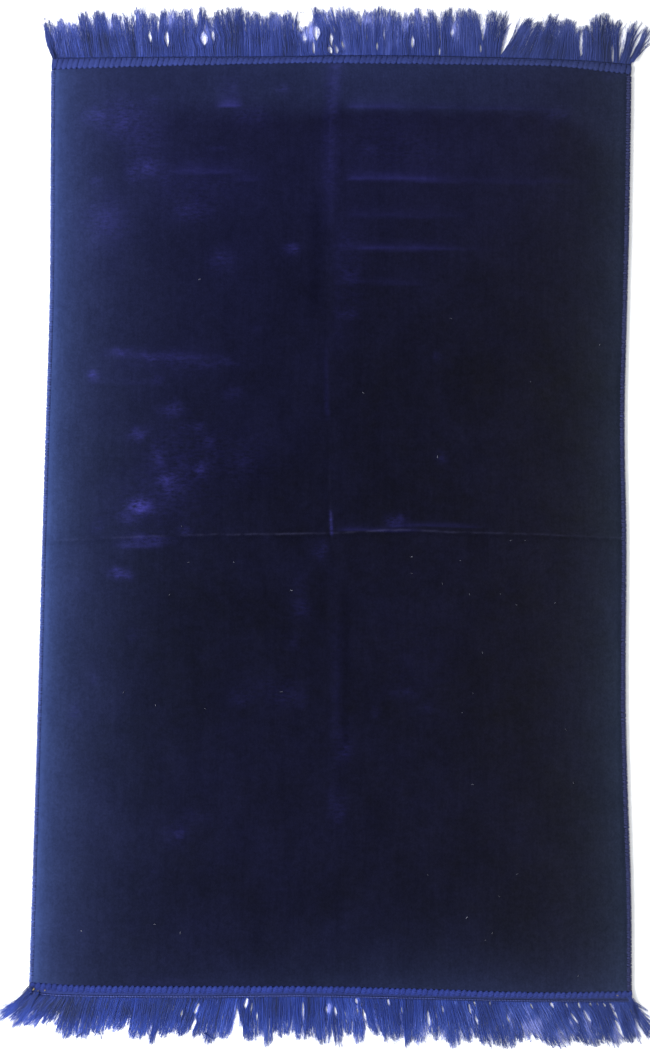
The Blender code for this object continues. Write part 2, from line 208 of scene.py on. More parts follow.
def bump(distance, half_width):
    """1 on a line, falling softly to nothing on both sides of it."""
    return np.exp(-(distance / half_width) ** 2)


HILL_GRID = 64             # the pattern of hills repeats after this many of them


def hills(x, y, span, seed):
    """Soft random hills and dips between -1 and 1, about span millimetres apart."""
    heights = np.random.default_rng(seed).uniform(-1.0, 1.0, (HILL_GRID, HILL_GRID))
    u, v = x / span + HILL_GRID, y / span + HILL_GRID
    column, row = np.floor(u).astype(int), np.floor(v).astype(int)
    s, t = u - column, v - row
    s, t = s * s * (3.0 - 2.0 * s), t * t * (3.0 - 2.0 * t)
    next_column, next_row = (column + 1) % HILL_GRID, (row + 1) % HILL_GRID
    column, row = column % HILL_GRID, row % HILL_GRID
    near = heights[column, row] * (1.0 - s) + heights[next_column, row] * s
    far = heights[column, next_row] * (1.0 - s) + heights[next_column, next_row] * s
    return near * (1.0 - t) + far * t


sample = hills(np.linspace(-300.0, 300.0, 50), np.zeros(50), 40.0, 1)
print("hills run from", round(float(sample.min()), 2), "to", round(float(sample.max()), 2))

# %% [markdown]
# ## Helpers for shapes
# Flat pieces (the pile cloth, the bands, the tapes) all start the same way: a grid is laid out, each of its
# corners is moved to its own place, its rim is drawn down to the floor, and the underside is closed with
# one face. A Solidify modifier could give the thickness too, but it would lift the underside wherever the
# top has a ridge, and this rug lies flat.

# %% A closed piece from a grid
def lay_grid(columns, rows, place):
    """A grid with a corner at each column and row, put where place says, closed down to the floor."""
    bm = bmesh.new()
    across, up = len(columns) - 1, len(rows) - 1
    bmesh.ops.create_grid(bm, x_segments=across, y_segments=up, size=1.0)
    flat = np.array([vert.co[:2] for vert in bm.verts])
    column = np.rint((flat[:, 0] + 1.0) / 2.0 * across).astype(int)
    row = np.rint((flat[:, 1] + 1.0) / 2.0 * up).astype(int)
    placed = np.column_stack(place(np.asarray(columns)[column], np.asarray(rows)[row]))
    for vert, corner in zip(bm.verts, placed.tolist()):
        vert.co = corner
    rim = [edge for edge in bm.edges if edge.is_boundary]
    made = bmesh.ops.extrude_edge_only(bm, edges=rim)["geom"]
    for vert in (item for item in made if isinstance(item, bmesh.types.BMVert)):
        vert.co.z = 0.0
    foot = [edge for edge in bm.edges if edge.is_boundary]
    bmesh.ops.edgeloop_fill(bm, edges=foot, mat_nr=1)
    bmesh.ops.recalc_face_normals(bm, faces=bm.faces[:])
    return bm


SHARP_ANGLE = math.radians(55.0)


def finish_mesh(bm, name):
    """The bmesh, worked in millimetres, as a smooth mesh in metres."""
    bmesh.ops.scale(bm, vec=(MM, MM, MM), verts=bm.verts[:])
    mesh = bpy.data.meshes.new(name)
    bm.to_mesh(mesh)
    bm.free()
    mesh.shade_smooth()
    mesh.set_sharp_from_angle(angle=SHARP_ANGLE)
    return mesh


def spaced(fixed, widest):
    """Places from the first fixed one to the last, through them all, widest apart at most."""
    places = []
    for here, there in zip(fixed, fixed[1:]):
        steps = max(1, math.ceil((there - here) / widest))
        places += [here + (there - here) * step / steps for step in range(steps)]
    return np.array(places + [fixed[-1]])


# %% Adding a piece to the rug
def add_piece(name, mesh, materials, node):
    """Puts a finished mesh in the scene, on the rug's body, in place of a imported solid."""
    for material in materials:
        mesh.materials.append(material)
    piece = bpy.data.objects.new(name, mesh)
    scene.collection.objects.link(piece)
    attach(piece, "root")
    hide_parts(node)
    mesh.calc_loop_triangles()
    print(name + ":", len(mesh.loop_triangles), "triangles")
    return piece


def paint(mesh, name, values):
    """Keeps one number for each corner point of the mesh, for its material to read."""
    layer = mesh.attributes.new(name, "FLOAT", "POINT")
    layer.data.foreach_set("value", np.asarray(values, np.float32).ravel())


# %% [markdown]
# Thousands of threads would be far too slow as separate objects, and a curve's bevel gives no control over
# how each one is built. So one function turns a whole table of paths into a single mesh of thin tubes.
# Every path has the same number of points, which lets numpy work on all of them at once.

# %% Many thin tubes in one mesh
def joined_tubes(name, paths, radii, sides, upright=(0.0, 0.0, 1.0)):
    """One mesh of tubes: paths is (tube, point, xyz) in mm, radii is (tube, point)."""
    tubes, points = paths.shape[:2]
    along = np.gradient(paths, axis=1)
    along /= np.linalg.norm(along, axis=2, keepdims=True)
    upright = np.asarray(upright, float)
    over = upright - (along @ upright)[..., None] * along
    over /= np.linalg.norm(over, axis=2, keepdims=True)
    beside = np.cross(along, over)
    angle = np.arange(sides) * 2.0 * math.pi / sides
    ring = np.cos(angle)[:, None] * over[:, :, None] + np.sin(angle)[:, None] * beside[:, :, None]
    verts = paths[:, :, None] + radii[:, :, None, None] * ring

    number = np.arange(tubes * points * sides).reshape(tubes, points, sides)
    turned = np.roll(number, -1, axis=2)
    walls = np.stack([number[:, :-1], turned[:, :-1], turned[:, 1:], number[:, 1:]], axis=-1)
    ends = np.concatenate([number[:, 0, ::-1], number[:, -1]])
    corners = np.concatenate([walls.ravel(), ends.ravel()])
    sizes = np.concatenate([np.full(walls.size // 4, 4), np.full(2 * tubes, sides)])
    starts = np.concatenate([[0], np.cumsum(sizes)[:-1]])

    mesh = bpy.data.meshes.new(name)
    mesh.vertices.add(verts.size // 3)
    mesh.vertices.foreach_set("co", (verts * MM).astype(np.float32).ravel())
    mesh.loops.add(len(corners))
    mesh.loops.foreach_set("vertex_index", corners.astype(np.int32))
    mesh.polygons.add(len(sizes))
    mesh.polygons.foreach_set("loop_start", starts.astype(np.int32))
    mesh.update(calc_edges=True)
    mesh.validate()
    mesh.shade_smooth()
    along_share = np.broadcast_to(np.linspace(0.0, 1.0, points)[None, :, None], number.shape)
    paint(mesh, "along", along_share)
    return mesh


def per_tube(values, points, sides):
    """One value for each tube, repeated for all of its corner points."""
    return np.repeat(np.asarray(values, float), points * sides)


# %% [markdown]
# ## Helpers for materials
# The cloth, the yarn and the threads share a few effects: cloudy unevenness, fine grain, and the slanting
# plies of a twisted yarn. Each one is a node group, built once, with named sockets for its size and depth.
# The shaders themselves stay in the materials.

# %% Node helpers
def put(tree, kind, inputs=(), **fields):
    """Adds a shader node. inputs fills its sockets with values, or with another node's output."""
    node = tree.nodes.new("ShaderNode" + kind)
    for field, value in fields.items():
        setattr(node, field, value)
    for socket, value in dict(inputs).items():
        if isinstance(value, bpy.types.NodeSocket):
            tree.links.new(value, node.inputs[socket])
        else:
            node.inputs[socket].default_value = value
    return node


def reckon(tree, operation, first, second=0.0, third=0.0):
    """A sum between sockets or numbers, as one Math node's output."""
    return put(tree, "Math", {0: first, 1: second, 2: third}, operation=operation).outputs[0]


def blend_colours(tree, how, share, first, second):
    """Mixes two colours, and returns the output socket."""
    return put(tree, "Mix", {0: share, 6: first, 7: second},
               data_type="RGBA", blend_type=how).outputs[2]


def scaled_colour(tree, share, colour):
    """A colour, or a socket with one, times a number, which may be below 0 or above 1."""
    if not isinstance(colour, bpy.types.NodeSocket):
        colour = colour[:3]
    return put(tree, "VectorMath", {0: colour, "Scale": share}, operation="SCALE").outputs[0]


GREYING_FROM = 0.05           # metres to the right of the rug's middle
GREYING_GROWS = 0.8           # share of grey gained for each metre past that
GREYING_COLOUR = (0.045, 0.052, 0.060, 1.0)


def greyed_towards_right(tree, where, colour):
    """A colour made greyer towards the rug's right-hand side, as its socket."""
    right = reckon(tree, "SUBTRACT", put(tree, "SeparateXYZ", {0: where}).outputs["X"], GREYING_FROM)
    share = reckon(tree, "MULTIPLY", reckon(tree, "MAXIMUM", right, 0.0), GREYING_GROWS)
    return blend_colours(tree, "MIX", share, colour, GREYING_COLOUR)


def read_mask(tree, name):
    """One of the numbers that paint() kept on the mesh."""
    return put(tree, "Attribute", attribute_name=name).outputs["Fac"]


def new_group(name, inputs, outputs):
    """An empty node group with its sockets; inputs are (name, kind, starting value)."""
    group = bpy.data.node_groups.new(name, "ShaderNodeTree")
    for socket, kind, value in inputs:
        made = group.interface.new_socket(socket, in_out="INPUT", socket_type="NodeSocket" + kind)
        if value is not None:
            made.default_value = value
    for socket, kind in outputs:
        group.interface.new_socket(socket, in_out="OUTPUT", socket_type="NodeSocket" + kind)
    return group, group.nodes.new("NodeGroupInput"), group.nodes.new("NodeGroupOutput")


def place_group(tree, group, inputs):
    """Places a node group in a material and fills its sockets."""
    return put(tree, "Group", inputs, node_tree=group)


def new_cloth(name, roughness, sheen, tint):
    """A matt fibre finish: its node tree, ready for a colour and a bump."""
    material = bpy.data.materials.new(name)
    material.use_nodes = True
    shader = material.node_tree.nodes["Principled BSDF"]
    shader.inputs["Roughness"].default_value = roughness
    shader.inputs["Metallic"].default_value = 0.0
    shader.inputs["Specular IOR Level"].default_value = 0.12
    shader.inputs["Sheen Weight"].default_value = sheen
    shader.inputs["Sheen Roughness"].default_value = 0.5
    shader.inputs["Sheen Tint"].default_value = (*tint, 1.0)
    return material, material.node_tree, shader


def add_bump(tree, shader, height, strength, distance):
    """Lets a height pattern tilt the light on the surface."""
    bumped = put(tree, "Bump", {"Height": height, "Strength": strength, "Distance": distance})
    tree.links.new(bumped.outputs["Normal"], shader.inputs["Normal"])


def around_one(group, pattern, fed):
    """A pattern that runs from 0 to 1, as a shade that lies Depth above and below 1."""
    centred = reckon(group, "SUBTRACT", pattern, 0.5)
    doubled = reckon(group, "MULTIPLY", centred, 2.0)
    return reckon(group, "MULTIPLY_ADD", doubled, fed.outputs["Depth"], 1.0)


# %% Node group: cloudy unevenness
cloudy, fed, made = new_group(
    "cloudy_unevenness",
    (("Vector", "Vector", None), ("Patches per metre", "Float", 40.0),
     ("Long way", "Float", 1.0), ("Depth", "Float", 0.3)),
    (("Shade", "Float"),))
stretched = put(cloudy, "VectorMath", {0: fed.outputs["Vector"]}, operation="MULTIPLY")
cloudy.links.new(
    put(cloudy, "CombineXYZ", {"X": 1.0, "Y": fed.outputs["Long way"], "Z": 1.0}).outputs[0],
    stretched.inputs[1])
patches = put(cloudy, "TexNoise", {
    "Vector": stretched.outputs[0], "Scale": fed.outputs["Patches per metre"],
    "Detail": 3.0, "Roughness": 0.55})
cloudy.links.new(around_one(cloudy, patches.outputs["Fac"], fed), made.inputs["Shade"])

# %% Node group: fine fibre grain
grain, fed, made = new_group(
    "fibre_grain",
    (("Vector", "Vector", None), ("Fibres per metre", "Float", 900.0), ("Depth", "Float", 0.3)),
    (("Shade", "Float"), ("Height", "Float")))
tufts = put(grain, "TexNoise", {
    "Vector": fed.outputs["Vector"], "Scale": fed.outputs["Fibres per metre"],
    "Detail": 2.0, "Roughness": 0.6})
grain.links.new(around_one(grain, tufts.outputs["Fac"], fed), made.inputs["Shade"])
grain.links.new(tufts.outputs["Fac"], made.inputs["Height"])

# %% Node group: the plies of a twisted yarn
twist, fed, made = new_group(
    "yarn_twist",
    (("Vector", "Vector", None), ("Plies per metre", "Float", 900.0), ("Depth", "Float", 0.3)),
    (("Shade", "Float"), ("Height", "Float")))
slanted = put(twist, "Mapping", {"Vector": fed.outputs["Vector"], "Rotation": (0.0, 0.5, 0.62)})
plies = put(twist, "TexWave", {
    "Vector": slanted.outputs[0], "Scale": fed.outputs["Plies per metre"],
    "Distortion": 1.2, "Detail": 1.0, "Detail Scale": 2.0}, wave_type="BANDS")
twist.links.new(around_one(twist, plies.outputs["Fac"], fed), made.inputs["Shade"])
twist.links.new(plies.outputs["Fac"], made.inputs["Height"])
print("node groups:", [group.name for group in bpy.data.node_groups])

# %% [markdown]
# ## The pile cloth
# Velvet is a ground cloth with short upright pile. Where the pile stands up it swallows the light, and
# where it has been pressed or brushed over it shines violet. The real hairs could be grown as a particle
# system, but at arm's length they are too fine to see. What does show is the lie of the pile: the two
# parted creases, the soft ridges beside them, the bruises and the long combed bands. A paler rim along
# each edge, strongest on the left, is painted light and glare.
#
# So the top is a fine grid that is shaped by tables of creases, ridges and bruises. They leave masks on it
# too, which tell the material where the pile is bruised, combed over, parted, dark or violet, and where
# light and glare are painted.

# %% Sizes of the pile cloth, as in the solids
PILE_HEIGHT = 4.2          # ground cloth and upright pile together
PILE_EDGE_HEIGHT = 2.6     # pile pressed down where the whipping grips it
PILE_EDGE_ROLL = 7.0       # how far in from its edge the pile reaches full height
UNEVEN_RISE = 0.25
UNEVEN_SPAN = (61.0, 83.0)
PART_GAP = 0.3
BINDING_WIDTH = 4.5
LEFT, RIGHT = -345.0, 345.0
HALF_WIDTH = 350.0         # from the rug's middle to the outer edge of its whipping
NEAR, FAR = -552.0, 555.0
FOLD_X, FOLD_Y = -6.0, -20.0
FOLD_DEPTH = 1.3
FOLD_HALF_WIDTH = 4.0
FOLD_SHOULDER = 0.5
FOLD_SHOULDER_AT = 12.0

# Soft ridges where the pile was pressed in storage: Y, from X, to X, height.
BRUSHED = (
    (501, -5, 175, 0.7), (414, -5, 200, 0.8), (368, -5, 160, 0.5),
    (326, -5, 200, 0.7), (282, -5, 120, 0.5), (488, -320, -100, 0.5),
    (419, -225, -100, 0.5), (194, -260, -120, 0.5), (12, -262, -205, 0.6),
    (-70, -285, -225, 0.5), (-123, -90, -20, 0.5))
BRUSH_HALF_WIDTH = 9.0
BRUSH_ENDS = 30.0

# %% Bruises in the pile: middle X, middle Y, size across, size along, strength
BRUISES_FAR_LEFT = (
    (-300, 486, 15, 12, 0.65), (-267, 479, 30, 26, 0.42), (-219, 508, 11, 3, 0.35),
    (-137, 521, 15, 15, 0.35), (-109, 488, 22, 14, 0.4),
    (-70, 522, 9, 4, 0.5), (-248, 419, 12, 12, 0.42), (-231, 424, 13, 10, 0.58), (-237, 446, 26, 34, 0.36),
    (-211, 410, 4, 13, 0.3), (-178, 370, 26, 14, 0.42), (-296, 405, 8, 8, 0.42),
    (-282, 358, 32, 26, 0.42), (-57, 325, 9, 7, 0.70), (-140, 310, 18, 15, 0.42),
    (-150, 448, 13, 2, 0.3))
BRUISES_FAR_RIGHT = (
    (262, 494, 18, 8, 0.35), (331, 544, 16, 6, 0.35),
    (11, 334, 9, 9, 0.28), (12, 294, 12, 9, 0.35),
    (38, 450, 7, 4, 0.3))
BRUISES_MIDDLE_LEFT = (
    (-261, 197, 16, 4, 0.6), (-224, 192, 19, 2, 0.5), (-192, 189, 15, 7, 0.35),
    (-142, 184, 34, 5, 0.35), (-292, 168, 8, 6, 0.8), (-215, 163, 5, 5, 0.3),
    (-195, 133, 9, 7, 0.55), (-198, 125, 19, 5, 0.3), (-238, 97, 12, 9, 0.68),
    (-181, 106, 4, 2, 0.4), (-163, 106, 6, 4, 0.4), (-152, 88, 9, 8, 0.38),
    (-211, 69, 10, 12, 0.42), (-158, 55, 10, 8, 0.58), (-202, 44, 12, 8, 0.58),
    (-193, 30, 15, 12, 0.35), (-231, 10, 20, 12, 1.15), (-232, 10, 12, 5, 0.4),
    (-247, -5, 10, 7, 0.5), (-125, 147, 12, 8, 0.33), (-96, 228, 9, 4, 0.2),
    (-107, 66, 12, 8, 0.3), (-178, -18, 9, 5, 0.4), (-219, -30, 26, 6, 0.55),
    (-283, -14, 8, 8, 0.30), (-250, -36, 7, 5, 0.40), (-14, -40, 3, 12, 0.28))
BRUISES_MIDDLE_RIGHT = (
    (12, 247, 9, 7, 0.4), (120, 195, 4, 4, 0.25), (73, -3, 13, 7, 0.6),
    (125, 73, 7, 6, 0.35))
BRUISES_NEAR_LEFT = (
    (-256, -71, 18, 7, 0.85), (-230, -30, 30, 7, 0.31), (-305, -82, 13, 9, 0.19),
    (-37, -111, 9, 8, 0.28), (-49, -148, 7, 9, 0.22), (-22, -40, 7, 9, 0.25),
    (-239, -145, 10, 6, 0.19), (-285, -196, 4, 8, 0.25), (-308, -236, 6, 10, 0.31),
    (-110, -217, 10, 8, 0.25), (-51, -216, 19, 9, 0.22), (-178, -374, 7, 7, 0.29),
    (-159, -354, 11, 7, 0.19), (-208, -421, 3, 4, 0.19), (-190, -548, 45, 5, 0.19))
BRUISES_NEAR_RIGHT = (
    (81, -208, 17, 4, 0.22), (51, -229, 4, 6, 0.28), (114, -226, 5, 3, 0.22),
    (15, -280, 8, 9, 0.31), (11, -349, 4, 13, 0.25))
# Bands where a fold of the stored rug combed the pile over: near edge Y, from X, to X, depth, strength.
# Each is sharp along its near edge and fades away from it.
BANDS = (
    (500, 8, 90, 17, 0.42), (500, 5, 300, 8, 0.30), (411, 8, 150, 13, 0.72),
    (410, 90, 330, 8, 0.22), (366, 8, 180, 16, 0.22), (326, 20, 165, 11, 0.42),
    (327, -12, 210, 7, 0.16), (284, 5, 120, 10, 0.22), (417, -205, -105, 14, 0.42),
    (408, -135, -80, 12, 0.22), (499, -150, -116, 10, 1.9), (190, -285, -115, 10, 0.26),
    (158, -300, -190, 8, 0.16), (-38, -265, -195, 9, 0.40), (-15, 2, 120, 5, 0.55),
    (-9, 60, 190, 4, 0.45))
# Broad violet washes, where a hand or a foot brushed the pile: middle X and Y, size, strength.
WASHES = (
    (-262, 490, 60, 45, 0.22), (-165, 405, 80, 50, 0.16), (-205, 185, 110, 24, 0.12),
    (-185, 62, 70, 75, 0.20), (-110, 75, 70, 60, 0.10), (70, 452, 120, 55, 0.12),
    (-40, -92, 18, 42, 0.08), (-75, -205, 62, 26, 0.09), (12, -268, 22, 44, 0.10),
    (4, -340, 14, 34, 0.12), (100, -165, 80, 80, 0.05), (-185, -372, 24, 26, 0.13),
    (-225, 20, 80, 60, 0.14), (18, 300, 26, 110, 0.09), (-290, 350, 60, 60, 0.10))
BRUISES = (BRUISES_FAR_LEFT + BRUISES_FAR_RIGHT + BRUISES_MIDDLE_LEFT + BRUISES_MIDDLE_RIGHT
           + BRUISES_NEAR_LEFT + BRUISES_NEAR_RIGHT)
print(len(BRUISES), "bruises")


def bruised(x, y):
    """How far the pile is pressed over at each place, from the table of bruises."""
    x = x + 1.4 * hills(x, y, 9.0, 21) + 3.0 * hills(x, y, 17.0, 22)
    y = y + 1.0 * hills(x, y, 9.0, 23) + 2.0 * hills(x, y, 17.0, 24)
    total = np.zeros_like(x)
    for middle_x, middle_y, across, along, strength in BRUISES:
        # A faint bruise has a soft rim, and a strong one a firm rim.
        spread = 1.9 - 0.8 * min(strength, 1.0)
        sideways = np.abs(x - middle_x) / (0.5 * across * spread + 2.0)
        lengthways = np.abs(y - middle_y) / (0.5 * along * spread + 1.6)
        total += strength ** 1.4 * np.exp(-(sideways ** 2.2 + lengthways ** 2.0))
    for middle_x, middle_y, across, along, strength in WASHES:
        total += strength * bump(x - middle_x, 0.6 * across) * bump(y - middle_y, 0.6 * along)
    return total * (1.0 + 0.30 * hills(x, 0.6 * y, 9.0, 27))


def banded(x, y):
    """How far the pile is combed over in the long bands."""
    total = np.zeros_like(x)
    y = y + 0.9 * hills(x, y, 33.0, 28)
    for edge_y, x_from, x_to, depth, strength in BANDS:
        fading = x_to - 0.4 * (x_to - x_from)
        inside = ramp(x, x_from - 6.0, x_from + 14.0) * (1.0 - ramp(x, fading, x_to))
        above = y - edge_y
        fade = np.exp(-np.maximum(above, 0.0) / (0.5 * depth))
        total += strength * inside * ramp(above, -2.6, 1.0) * fade
    return total * (1.0 + 0.35 * hills(x, 3.0 * y, 19.0, 26))


# %% The shape of the pile
# How strongly each crease shows along its own length: place, strength.
ACROSS_SHOWS = (
    (-352, 0.35), (-300, 0.30), (-250, 0.45), (-200, 0.35), (-140, 0.75), (-90, 1.0),
    (-40, 0.95), (0, 0.60), (60, 0.98), (130, 0.78), (200, 0.56), (260, 0.50), (355, 0.36))
ALONG_SHOWS = (
    (-555, 0.02), (-420, 0.04), (-300, 0.10), (-200, 0.08), (-60, 0.04), (-20, 0.30),
    (0, 1.00), (18, 0.25), (40, 0.30), (70, 0.08), (130, 0.14), (200, 0.08), (300, 0.05), (400, 0.12),
    (555, 0.25))


def crease(distance, half_width):
    """A crease in the pile: a narrow parting with a low shoulder on each side."""
    parting = -FOLD_DEPTH * bump(distance, half_width)
    shoulder = FOLD_SHOULDER * bump(np.abs(distance) - FOLD_SHOULDER_AT, FOLD_SHOULDER_AT / 2.0)
    return parting + shoulder


def ridges(x, y):
    """The height that the storage ridges add to the pile."""
    height = np.zeros_like(x)
    for at_y, x_from, x_to, rise in BRUSHED:
        inside = ramp(x, x_from, x_from + BRUSH_ENDS) * (1.0 - ramp(x, x_to - BRUSH_ENDS, x_to))
        height += rise * inside * bump(y - at_y, BRUSH_HALF_WIDTH)
    return height


def pile_top(x, y, from_edge):
    """The pile's height at places that lie from_edge inside the cloth's nearest edge."""
    far_half = ramp(y, -40.0, 0.0)
    swell = np.sin(x / UNEVEN_SPAN[0] + 1.0) * np.cos(y / UNEVEN_SPAN[1])
    height = PILE_HEIGHT + UNEVEN_RISE * swell
    height += 0.7 * crease(y - smooth_read(FOLD_ACROSS, x), FOLD_HALF_WIDTH)
    height += crease(x - smooth_read(FOLD_ALONG, y), FOLD_HALF_WIDTH) * (0.14 + 0.12 * far_half)
    height += ridges(x, y) - 0.25 * np.minimum(bruised(x, y), 1.2) + 0.07 * hills(x, y, 5.0, 31)
    rolled = ramp(from_edge, -3.0, PILE_EDGE_ROLL)
    return PILE_EDGE_HEIGHT + (height - PILE_EDGE_HEIGHT) * rolled


# %% Build the pile cloth
EDGE_LINES = (0.0, 1.0, 2.0, 3.5, 5.0, PILE_EDGE_ROLL)
CREASE_LINES = (-16.0, -12.0, -9.0, -6.5, -4.5, -3.0, -1.8, -0.8, 0.0,
                0.8, 1.8, 3.0, 4.5, 6.5, 9.0, 12.0, 16.0)
PILE_GRID = 3.2            # the widest step of the grid


def follow(places, marks):
    """Places on the plain grid, moved as the marks on either side of them are moved."""
    (start, start_to), (middle, middle_to), (end, end_to) = marks
    first = (places - start) / (middle - start)
    second = (places - middle) / (end - middle)
    return np.where(places <= middle, start_to + first * (middle_to - start_to),
                    middle_to + second * (end_to - middle_to))


def place_pile(x, y):
    """Where each corner of the pile's grid goes."""
    inset = BINDING_WIDTH + PART_GAP
    from_edge = np.minimum.reduce([x - LEFT, RIGHT - x, y - NEAR, FAR - y])
    x = follow(x, ((LEFT, smooth_read(LEFT_EDGE, y) + inset),
                   (FOLD_X, smooth_read(FOLD_ALONG, y)),
                   (RIGHT, smooth_read(RIGHT_EDGE, y) - inset)))
    y = follow(y, ((NEAR, smooth_read(NEAR_PILE, x)),
                   (FOLD_Y, smooth_read(FOLD_ACROSS, x)),
                   (FAR, smooth_read(FAR_PILE, x))))
    return x, y, pile_top(x, y, from_edge)


pile_columns = spaced([LEFT + inset for inset in EDGE_LINES]
                      + [FOLD_X + offset for offset in CREASE_LINES]
                      + [RIGHT - inset for inset in reversed(EDGE_LINES)], PILE_GRID)
pile_rows = spaced([NEAR + inset for inset in EDGE_LINES]
                   + [FOLD_Y + offset for offset in CREASE_LINES]
                   + [FAR - inset for inset in reversed(EDGE_LINES)], PILE_GRID)
pile_mesh = finish_mesh(lay_grid(pile_columns, pile_rows, place_pile), "pile_panel_velvet")
print("pile grid:", len(pile_columns), "by", len(pile_rows))

# %% Masks on the pile
pile_points = np.array([vert.co for vert in pile_mesh.vertices]) / MM
px, py = pile_points[:, 0], pile_points[:, 1]
from_left = px - smooth_read(LEFT_EDGE, py)
from_right = smooth_read(RIGHT_EDGE, py) - px
from_far = smooth_read(FAR_PILE, px) - py
from_near = py - smooth_read(NEAR_PILE, px)
off_across = py - smooth_read(FOLD_ACROSS, px)
off_along = px - smooth_read(FOLD_ALONG, py)

# Painted light: the pile is painted paler along its edges, most on the left, as the window light and
# glare fall there. Across the far end a strip was combed towards the fringe, and ends in a soft line:
# X, distance from the end.
COMBED_TO = ((-352, 56), (235, 56), (262, 59), (285, 67), (320, 88), (355, 115))
# How strong the painted edge light is along the two ends: X, strength.
FAR_EDGE_LIGHT = ((-352, 0.35), (-250, 0.55), (-120, 0.85), (40, 1.15), (180, 1.0), (280, 0.7), (355, 0.35))
NEAR_EDGE_LIGHT = ((-352, 0.10), (-200, 0.35), (0, 0.75), (180, 1.25), (355, 0.9))
combed_end = smooth_read(COMBED_TO, px) + 2.5 * hills(px, py, 26.0, 46)
combed_rim = 24.0 - 12.0 * ramp(px, -60.0, 20.0) + 10.0 * ramp(px, 200.0, 300.0)
combed = 1.0 - ramp(from_far, combed_end - combed_rim, combed_end + combed_rim)
# How far in from each edge the painted light and glare fade out, and what share of the left side's
# painted light each end has.
LEFT_REACH, LEFT_RIM_REACH = 60.0, 14.0
RIGHT_RIM_REACH, RIGHT_GLARE_REACH = 30.0, 140.0
FAR_REACH, FAR_RIM_SHARE, FAR_COMBED_SHARE = 12.0, 0.27, 0.31
NEAR_REACH, NEAR_WIDE_REACH = 28.0, 110.0
NEAR_RIM_SHARE, NEAR_WIDE_SHARE = 0.45, 0.07
# Painted light: paler along the left edge and the two ends, with the combed strip at the far end in the same
# mask.
far_edge_light_and_combing = FAR_RIM_SHARE * np.exp(-from_far / FAR_REACH) + FAR_COMBED_SHARE * combed
near_edge_light = NEAR_RIM_SHARE * np.exp(-from_near / NEAR_REACH)
near_edge_light += NEAR_WIDE_SHARE * np.exp(-from_near / NEAR_WIDE_REACH)
edge_light_and_slit_opening = np.exp(-from_left / LEFT_REACH)
edge_light_and_slit_opening += smooth_read(FAR_EDGE_LIGHT, px) * far_edge_light_and_combing
edge_light_and_slit_opening += smooth_read(NEAR_EDGE_LIGHT, px) * near_edge_light
paint(pile_mesh, "painted_edge_light_and_combing", edge_light_and_slit_opening * (1.0 + 0.08 * hills(px, py, 30.0, 41)))
# Painted light: a narrow paler rim along the left edge.
paint(pile_mesh, "painted_left_rim_light", np.exp(-from_left / LEFT_RIM_REACH))
# Painted glare: a paler, greyer rim along the right edge, stronger towards the near end.
more_near = 1.35 - 0.35 * ramp(py, -250.0, 0.0)
paint(pile_mesh, "painted_right_rim_glare", np.exp(-from_right / RIGHT_RIM_REACH) * more_near)
# Painted glare: paler and greyer towards the right side.
paint(pile_mesh, "painted_right_glare", np.exp(-from_right / RIGHT_GLARE_REACH))

# %% A thin pale line along each crease, broken up along its length
PARTING_HALF_WIDTH = 1.1
ALONG_FAINTER = 0.55       # how strong the line along the rug is, where the one across it is 1
CROSSING_SHIFT = 2.2       # where they cross, the line along lies this far right of its crease
ragged = 0.62 + 0.65 * hills(px, py, 9.0, 42) + 0.35 * hills(px, py, 3.5, 43)
wavering = off_across + 0.5 * hills(px, py, 6.0, 44)
parted = bump(wavering, PARTING_HALF_WIDTH) * smooth_read(ACROSS_SHOWS, px)
wavering = off_along - CROSSING_SHIFT * bump(py, 40.0) + 0.5 * hills(px, py, 6.0, 45)
parted += ALONG_FAINTER * bump(wavering, PARTING_HALF_WIDTH) * smooth_read(ALONG_SHOWS, py)
paint(pile_mesh, "parted", np.clip(parted * ragged, 0.0, 1.5))

# %% Strips beside the crease that runs along, and the bruises
# How far to the right of the crease, half width, Y where it starts, is full, thins and ends, strength.
PAST_END = (600, 700)
VIOLET_STRIPS = (
    (1.0, 8.5, 330, 430, *PAST_END, 0.34), (1.0, 8.5, 480, 530, *PAST_END, 0.30),
    (13.0, 6.0, 190, 230, 320, 380, 0.13), (-1.5, 3.0, 110, 130, 180, 220, 0.20),
    (2.2, 1.8, -25, -16, -6, 12, 1.7), (-6.0, 7.0, -300, -200, -180, -60, 0.12))
DARK_STRIPS = (
    (-14.0, 8.0, 220, 270, 360, 420, 0.22), (4.0, 6.0, -300, -260, -110, -60, 0.22))


def beside_crease(strips):
    """How strongly a table of strips shows at each corner of the pile."""
    total = np.zeros_like(px)
    for aside, half_width, starts, full, thins, ends, strength in strips:
        inside = ramp(py, starts, full) * (1.0 - ramp(py, thins, ends))
        total += strength * inside * bump(off_along - aside, half_width)
    return total


streaky = 0.8 + 0.5 * hills(px, py * 2.2, 6.0, 47) + 0.3 * hills(px, py, 24.0, 48)
violet_band = beside_crease(VIOLET_STRIPS) * streaky.clip(0.1, 1.6)
paint(pile_mesh, "bruised", bruised(px, py) + 0.5 * violet_band)
paint(pile_mesh, "banded", banded(px, py) + 0.5 * violet_band)

# %% Dark strips and violet nap
# Darker strips beside the creases, and a broad darker area left of the middle. The thin dark line just on
# the near side of the crease across the rug is painted shade.
dark = beside_crease(DARK_STRIPS) + 0.10 * bump(off_across + 3.5, 3.0)
dark += 0.13 * bump(px + 110.0, 110.0) * ramp(py, -20.0, 60.0) * (1.0 - ramp(py, 380.0, 460.0))
paint(pile_mesh, "dark", dark)

